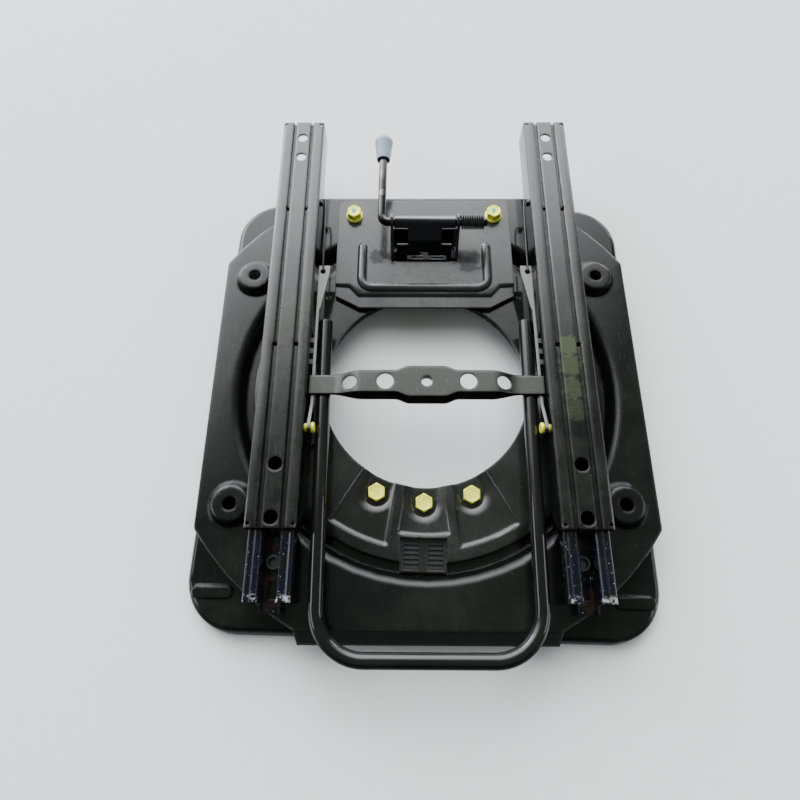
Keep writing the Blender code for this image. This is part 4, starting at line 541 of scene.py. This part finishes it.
dress(track_finish(), "lower_rail_left", "lower_rail_right", angle=24.0)
oiled_steel = plain_finish("oiled_steel", (0.05, 0.05, 0.052), 0.38, metallic=0.7)
for kind in ("nut", "screw"):
    dress(oiled_steel, *[f"rail_{kind}_{end}_{side}" for end in ENDS for side in SIDES])
bearing_steel = plain_finish("bearing_steel", (0.5, 0.5, 0.5), 0.25, metallic=1.0)
dress(bearing_steel, *[f"ball_cage_{side}_{place}" for side in SIDES for place in ("inner", "outer")])

# Lock lever: bent round bar with a worn shiny handle, forked tongue on a sleeve, coil spring and a grey knob.
# The bar and the tongue's sleeve are coated black and welded, the spring is drawn wire.

ROD_Y, ROD_Z, ROD_R, ROD_CHAMFER, ROD_END_SHARE = 0.1756 + SHIFT_Y, 0.073, 0.0045, 0.0006, 0.86
ROD_END_X, ROD_BEND_X, ROD_BEND_R = 0.067535, -0.0474, 0.009
HANDLE_RISE, HANDLE_LEAN, HANDLE_LENGTH = math.radians(6.0), math.radians(1.0), 0.078
KNOB_LENGTH, KNOB_R, KNOB_NECK_R = 0.033, 0.0102, 0.0072
WORN_STEEL = (0.16, 0.14, 0.125)


def sweep(path, radius, sides, reference):
    """Circles about a path: p + r (n cos a + b sin a), n = tangent x reference, b = tangent x n.

    The radius r is one number, or one for each point.
    """
    path = np.asarray(path, float)
    along = np.gradient(path, axis=0)
    along /= np.linalg.norm(along, axis=1)[:, None]
    across = np.cross(along, reference)
    across /= np.linalg.norm(across, axis=1)[:, None]
    other = np.cross(along, across)
    turn = around(sides)
    ring = across[:, None] * np.cos(turn)[None, :, None] + other[:, None] * np.sin(turn)[None, :, None]
    return path[:, None] + np.broadcast_to(radius, len(path))[:, None, None] * ring


def rounded(corners, radius, arc_points=12, straight_points=6):
    """Path through corners, each inner one replaced by a quadratic curve that starts a radius before it."""
    corners = [np.array(c, float) for c in corners]
    pieces = []
    last = corners[0]
    for before, corner, after in zip(corners, corners[1:], corners[2:]):
        into = (corner - before) / np.linalg.norm(corner - before)
        out = (after - corner) / np.linalg.norm(after - corner)
        start, stop = corner - into * radius, corner + out * radius
        t = np.linspace(0, 1, straight_points, endpoint=False)[:, None]
        pieces.append(last * (1 - t) + start * t)
        t = np.linspace(0, 1, arc_points, endpoint=False)[:, None]
        pieces.append(start * (1 - t) ** 2 + corner * 2 * t * (1 - t) + stop * t**2)
        last = stop
    t = np.linspace(0, 1, straight_points)[:, None]
    return np.concatenate(pieces + [last * (1 - t) + corners[-1] * t])


def rod_finish():
    """Black coat on the lever's bar, rubbed to bright steel where the hand and the plate touch the handle."""
    made = electro_coat("rod_electro_coat", gloss=0.08, dust=0.1, scuffs=0.3)
    tree, shader, place, at = reopen(made)
    handle_part = remap(tree, at["Y"], ROD_Y + 0.03, ROD_Y + 0.038)
    patches = remap(tree, noise(tree, place, 34.0, 5.0, 0.7), 0.42, 0.66)
    scrape = spot(tree, place, (ROD_BEND_X + 0.0004, ROD_Y + 0.034, ROD_Z + 0.008), 0.0042, 0.3)
    bare = combine(tree, "MAXIMUM", times(tree, handle_part, patches), scrape)
    coat = blend_colours(tree, bare, source_of(shader, "Base Color"), WORN_STEEL)
    wire(tree, coat, shader.inputs["Base Color"], times(tree, bare, 0.8), shader.inputs["Metallic"])
    return made


level_share = math.cos(HANDLE_RISE)
handle = np.array((math.sin(HANDLE_LEAN) * level_share, math.cos(HANDLE_LEAN) * level_share,
                   math.sin(HANDLE_RISE)))
bend = np.array((ROD_BEND_X, ROD_Y, ROD_Z))
handle_end = bend + handle * (HANDLE_LENGTH + 0.6 * KNOB_LENGTH)
rod_path = rounded([(ROD_END_X, ROD_Y, ROD_Z), bend, handle_end], ROD_BEND_R, 14, 20)
rod_path[1] = rod_path[0] + (-ROD_CHAMFER, 0, 0)
width = np.ones(len(rod_path))
width[0] = ROD_END_SHARE
side_on = np.cross((1.0, 0.0, 0.0), handle)
rod_points = sweep(rod_path, ROD_R * width, 32, side_on)
rod = grid_piece("lever_bar", rod_points, rod_finish(), "lock_lever")
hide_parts("lock_rod")

BORE_R, BORE_DEPTH, MOUTH_R, MOUTH_DEPTH = ROD_R + 0.0003, 0.62 * KNOB_LENGTH, 0.0062, 0.007
KNOB_BORE = ((BORE_DEPTH + 0.0004, BORE_R * 0.5), (BORE_DEPTH + 0.0004, BORE_R), (MOUTH_DEPTH, BORE_R),
             (MOUTH_DEPTH - 0.0006, MOUTH_R), (0.0006, MOUTH_R), (0.0, MOUTH_R + 0.0004))
KNOB_OUTSIDE = ((0.0, 0.0), (0.012, 0.1), (0.04, 0.14), (0.2, 0.28), (0.45, 0.6), (0.6, 0.88), (0.66, 0.98),
                (0.69, 1.0), (0.72, 0.95), (0.76, 0.76), (0.82, 0.36), (0.9, -0.3), (0.95, -0.75),
                (0.985, -1.35), (1.0, -1.9))
knob_profile = np.array([*KNOB_BORE, *((share * KNOB_LENGTH, KNOB_NECK_R + (KNOB_R - KNOB_NECK_R) * wide)
                                       for share, wide in KNOB_OUTSIDE)])
turn = around(56)[:, None]
sideways = np.cross(handle, (0, 0, 1.0))
sideways /= np.linalg.norm(sideways)
circle = sideways * np.cos(turn) + np.cross(sideways, handle) * np.sin(turn)
knob_axis = bend + handle * (HANDLE_LENGTH + knob_profile[:, :1])
knob_points = knob_axis[:, None] + knob_profile[:, 1, None, None] * circle[None]
knob_plastic = plain_finish("knob_plastic", (0.3, 0.37, 0.43), 0.42, variation=0.05, grain=1400.0,
                            depth=0.00025)
knob = grid_piece("grip_knob", knob_points, knob_plastic, "lock_lever", angle=48.0)
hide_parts("lever_knob")

tongue_coat = electro_coat("tongue_electro_coat", gloss=0.1, shine=0.9, dust=0.06, scuffs=0.3,
                           edge_radius=0.003, tint=(0.014, 0.014, 0.015))
dress(tongue_coat, "lock_tongue")

SPRING_START, SPRING_STOP, SPRING_TURNS, COIL_R, COIL_WIRE_R = 0.0392, 0.0642, 10, 0.007, 0.00095
coil_turn = np.linspace(0, SPRING_TURNS * math.tau, SPRING_TURNS * 40 + 1)
coil_x = SPRING_START + (SPRING_STOP - SPRING_START) * coil_turn / coil_turn[-1]
coil = np.stack([coil_x, ROD_Y + COIL_R * np.cos(coil_turn), ROD_Z + COIL_R * np.sin(coil_turn)], axis=-1)
leg_y = ROD_Y + COIL_R
leg = np.linspace((SPRING_START, leg_y, LOCK_PLATE_TOP + 0.0003), (SPRING_START, leg_y, ROD_Z - 0.001), 12)
spring_points = sweep(np.concatenate([leg, coil]), COIL_WIRE_R, 10, (1.0, 0.02, 0.01))
spring_wire = plain_finish("spring_wire", (0.035, 0.035, 0.035), 0.2, metallic=0.5)
spring = grid_piece("coil_spring", spring_points, spring_wire, "turntable")
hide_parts("lever_spring")

# Return springs: one drawn wire on each side, hooked into the seat rail and into the latch lever's eye.
# Dark drawn steel, bent cold, with a short end turned down through the eye.

WIRE_R, WIRE_Z, WIRE_BEND_R = 0.001, 0.0625, 0.0014
X_RAIL, X_EYE, HOOK_Y, EYE_Y = 0.116785, 0.109535, 0.212 + SHIFT_Y, 0.1205 + SHIFT_Y
return_wire = plain_finish("return_wire", (0.018, 0.018, 0.017), 0.3, metallic=0.3)
for side, sign in zip(SIDES, (-1, 1)):
    corners = [(X_RAIL - 0.0003, HOOK_Y + 0.0015, WIRE_Z), (X_RAIL - 0.0046, HOOK_Y + 0.0015, WIRE_Z),
               (X_EYE + 0.0012, HOOK_Y - 0.0096, WIRE_Z + 0.001),
               (X_EYE + 0.0005, HOOK_Y - 0.036, WIRE_Z + 0.0019), (X_EYE, EYE_Y + 0.006, WIRE_Z + 0.0006),
               (X_EYE, EYE_Y, WIRE_Z + 0.0004), (X_EYE, EYE_Y, WIRE_Z - 0.0072)]
    path = rounded(corners, WIRE_BEND_R, 8, 6) * (sign, 1, 1)
    wire_points = sweep(path, WIRE_R, 14, (0.62, 0.31, 0.72))
    wire_piece = grid_piece(f"return_wire_{side}", wire_points, return_wire, "slider")
    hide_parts(f"return_spring_{side}")

# Towel bar with its cross strap and latch levers: the seat's release handle.
# Bent round tube under the strap, all coated black and welded; the levers turn on yellow zinc pins.

TUBE_R, TUBE_WALL, TUBE_Z, TUBE_BEND_R, TUBE_SIDES = 0.007, 0.0016, 0.054, 0.043, 40
TUBE_REAR, TUBE_FRONT = (0.104035, 0.063 + SHIFT_Y), (0.098935, -0.2598 + SHIFT_Y)
lean = math.atan2(TUBE_REAR[0] - TUBE_FRONT[0], TUBE_REAR[1] - TUBE_FRONT[1])
centre = np.array((TUBE_FRONT[0] - TUBE_BEND_R, TUBE_FRONT[1] + TUBE_BEND_R))
turn = np.linspace(math.radians(-90), -lean, 30)
arc_part = centre + TUBE_BEND_R * np.stack([np.cos(turn), np.sin(turn)], axis=-1)
legs = np.linspace(arc_part[-1], TUBE_REAR, 24)[1:]
half_path = np.concatenate([arc_part, legs])
cross_part = np.linspace((-half_path[0][0], half_path[0][1]), half_path[0], 16)[1:-1]
flat_path = np.concatenate([half_path[::-1] * (-1, 1), cross_part, half_path])
tube_path = np.column_stack([flat_path, np.full(len(flat_path), TUBE_Z)])
outer = sweep(tube_path, TUBE_R, TUBE_SIDES, (0, 0, 1.0))
inner = sweep(tube_path, TUBE_R - TUBE_WALL, TUBE_SIDES, (0, 0, 1.0))[::-1]
bar_coat = electro_coat("bar_electro_coat", gloss=0.07, dust=0.08, scuffs=0.3)
tube_points = np.concatenate([outer, inner])
tube = grid_piece("release_tube", tube_points, bar_coat, "release_bar", wrap=True)
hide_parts("towel_bar")

# The strap's faces that look up are painted lighter grey: a painted highlight.
strap_coat = electro_coat("strap_electro_coat", gloss=0.16, dust=0.3, scribble=0.4, edge_radius=0.003,
                          painted_top_highlight=0.85, painted_top_highlight_colour=(0.06, 0.063, 0.056))
dress(strap_coat, "cross_strap", angle=40.0)
# The latch levers' faces that look up are painted lighter grey: a painted highlight.
lever_coat = electro_coat("lever_electro_coat", gloss=0.22, dust=0.3,
                          painted_top_highlight=0.9, painted_top_highlight_colour=(0.15, 0.165, 0.14))
dress(lever_coat, "latch_lever_left", "latch_lever_right", angle=40.0)
dress(zinc, "pivot_pin_left", "pivot_pin_right")


def weld_bead(name, path, radius, body):
    """Bead of weld metal along a path: a round bar whose radius ripples and fades at the ends.

    The ripple is 14 % every 1.3 mm and 8 % every 4.7 mm.
    """
    length = np.concatenate([[0], np.cumsum(np.linalg.norm(np.diff(path, axis=0), axis=1))])
    ripple = 1 + 0.14 * np.sin(length / 0.0013 * math.tau) + 0.08 * np.sin(length / 0.0047 * math.tau + 1)
    fade = np.sqrt(np.clip(np.minimum(length, length[-1] - length) / radius, 0.05, 1))
    points = sweep(path, radius * ripple * fade, 12, (0.3, 0.2, 0.93))
    grid_piece(name, points, weld_coat, body, angle=50.0)


weld_coat = electro_coat("weld_electro_coat", gloss=0.24, dust=0.1, scuffs=0.2)
STRAP_X, STRAP_Y, STRAP_WELD_HALF, STRAP_WELD_R = 0.10285, -0.0112 + SHIFT_Y, 0.0125, 0.0016
WELD_OFF_TUBE, WELD_ON_TUBE = 0.0062, 0.0052
EAR_X, EAR_FRONT_Y, EAR_REAR_Y, EAR_WELD_R = 0.0372, 0.1515 + SHIFT_Y, 0.1865 + SHIFT_Y, 0.0013
for side, sign in zip(SIDES, (-1, 1)):
    for place, offset in (("inner", -WELD_OFF_TUBE), ("outer", WELD_OFF_TUBE)):
        x, z = STRAP_X * sign + offset, TUBE_Z + WELD_ON_TUBE
        line = np.linspace((x, STRAP_Y - STRAP_WELD_HALF, z), (x, STRAP_Y + STRAP_WELD_HALF, z), 60)
        weld_bead(f"strap_weld_{side}_{place}", line, STRAP_WELD_R, "release_bar")
    x = EAR_X * sign
    ear = np.linspace((x, EAR_FRONT_Y, LOCK_PLATE_TOP), (x, EAR_REAR_Y, LOCK_PLATE_TOP), 90)
    weld_bead(f"ear_weld_{side}", ear, EAR_WELD_R, "turntable")

# Floor and lights: a plain pale floor in a studio whose soft light comes from behind and fades to the zenith.
# The world holds that glow; small cool window lights give the highlights, a lamp overhead lights the floor.

FLOOR_HALF, FLOOR_DROP = 6.0, 0.0004
floor_corners = [(-FLOOR_HALF, -FLOOR_HALF, 0), (FLOOR_HALF, -FLOOR_HALF, 0), (FLOOR_HALF, FLOOR_HALF, 0),
                 (-FLOOR_HALF, FLOOR_HALF, 0)]
floor_mesh = bpy.data.meshes.new("floor")
floor_mesh.from_pydata(floor_corners, [], [(0, 1, 2, 3)])
floor = bpy.data.objects.new("floor", floor_mesh)
bpy.context.scene.collection.objects.link(floor)
floor.location.z = -FLOOR_DROP
floor_mesh.materials.append(plain_finish("pale_floor", (0.84, 0.84, 0.83), 0.85, variation=0.012, grain=260.0,
                                         depth=0.0002))


def softbox(name, direction, distance, size, radiance, colour=(1, 1, 1), mirrored=True):
    """Rectangular area light at an azimuth and elevation in degrees, turned to the object."""
    azimuth, elevation = (math.radians(a) for a in direction)
    toward = Vector((math.sin(azimuth) * math.cos(elevation), math.cos(azimuth) * math.cos(elevation),
                     math.sin(elevation)))
    lamp = bpy.data.lights.new(name, "AREA")
    lamp.shape = "RECTANGLE"
    lamp.size, lamp.size_y = size
    lamp.energy = radiance * math.pi * size[0] * size[1]
    lamp.color = colour
    holder = bpy.data.objects.new(name, lamp)
    bpy.context.scene.collection.objects.link(holder)
    holder.location = toward * distance
    holder.rotation_euler = toward.to_track_quat("Z", "Y").to_euler()
    holder.visible_glossy = mirrored


COOL, NEARLY_WHITE = (0.72, 0.78, 1.0), (0.86, 0.88, 1.0)
softbox("window_left", (-42, 27), 2.4, (0.9, 0.6), 14.0, COOL)
softbox("window_right", (40, 24), 2.4, (0.5, 0.5), 10.0, COOL)
softbox("side_left", (-98, 26), 2.6, (1.5, 0.7), 5.0, NEARLY_WHITE)
softbox("side_right", (98, 26), 2.6, (1.5, 0.7), 4.0, NEARLY_WHITE)
softbox("overhead", (0, 64), 2.2, (1.8, 1.8), 2.6, mirrored=False)

GLOW_BEARING, GLOW_RADIANCE = math.radians(-16.0), 7.8
DARK_ROOM, GLOW = (0.024, 0.028, 0.025), (0.96, 0.98, 1.0)
world = bpy.data.worlds.new("studio")
bpy.context.scene.world = world
world.use_nodes = True
sky = world.node_tree
heading = new_node(sky, "ShaderNodeTexCoord").outputs["Generated"]
upward_part = split(sky, heading)["Z"]
flattened = new_node(sky, "ShaderNodeVectorMath", operation="MULTIPLY")
flattened.inputs[1].default_value = (1, 1, 0)
unit = new_node(sky, "ShaderNodeVectorMath", operation="NORMALIZE")
facing = new_node(sky, "ShaderNodeVectorMath", operation="DOT_PRODUCT")
facing.inputs[1].default_value = (math.sin(GLOW_BEARING), math.cos(GLOW_BEARING), 0)
wire(sky, heading, flattened.inputs[0], flattened.outputs[0], unit.inputs[0],
     unit.outputs[0], facing.inputs[0])
fade_up = remap(sky, upward_part, 0.68, 0.98, 1.0, 0.0, "SMOOTHSTEP")
fade_down = remap(sky, upward_part, -0.05, 0.3, 0.25, 1.0, "SMOOTHSTEP")
fade_round = remap(sky, facing.outputs["Value"], 0.45, 1.0, 0.0, 1.0, "SMOOTHSTEP")
glow = times(sky, times(sky, fade_up, fade_down), fade_round)
background = sky.nodes["Background"]
wire(sky, blend_colours(sky, glow, DARK_ROOM, GLOW), background.inputs["Color"])
background.inputs["Strength"].default_value = GLOW_RADIANCE

# Camera: at the photograph's place, from the fit of its lens, tilt and roll.
# The photograph is 800 pixels wide, and the focal length was fitted in its pixels.

PHOTO_PX, FOCAL_PX = 800, 562.98
CAMERA_PLACE = (-0.02177, -0.24675, 0.57697)
TILT, YAW, ROLL = (math.radians(a) for a in (69.31, -1.29, -1.05))
camera_data = bpy.data.cameras.new("camera")
camera = bpy.data.objects.new("camera", camera_data)
bpy.context.scene.collection.objects.link(camera)
camera_data.lens = FOCAL_PX / PHOTO_PX * camera_data.sensor_width
forward = Vector((math.sin(YAW) * math.cos(TILT), math.cos(YAW) * math.cos(TILT), -math.sin(TILT)))
level = Vector((math.cos(YAW), -math.sin(YAW), 0))
upward = level.cross(forward)
right = level * math.cos(ROLL) + upward * math.sin(ROLL)
above = upward * math.cos(ROLL) - level * math.sin(ROLL)
camera_turn = Matrix((right, above, -forward)).transposed().to_4x4()
camera.matrix_world = Matrix.Translation(CAMERA_PLACE) @ camera_turn
bpy.context.scene.camera = camera
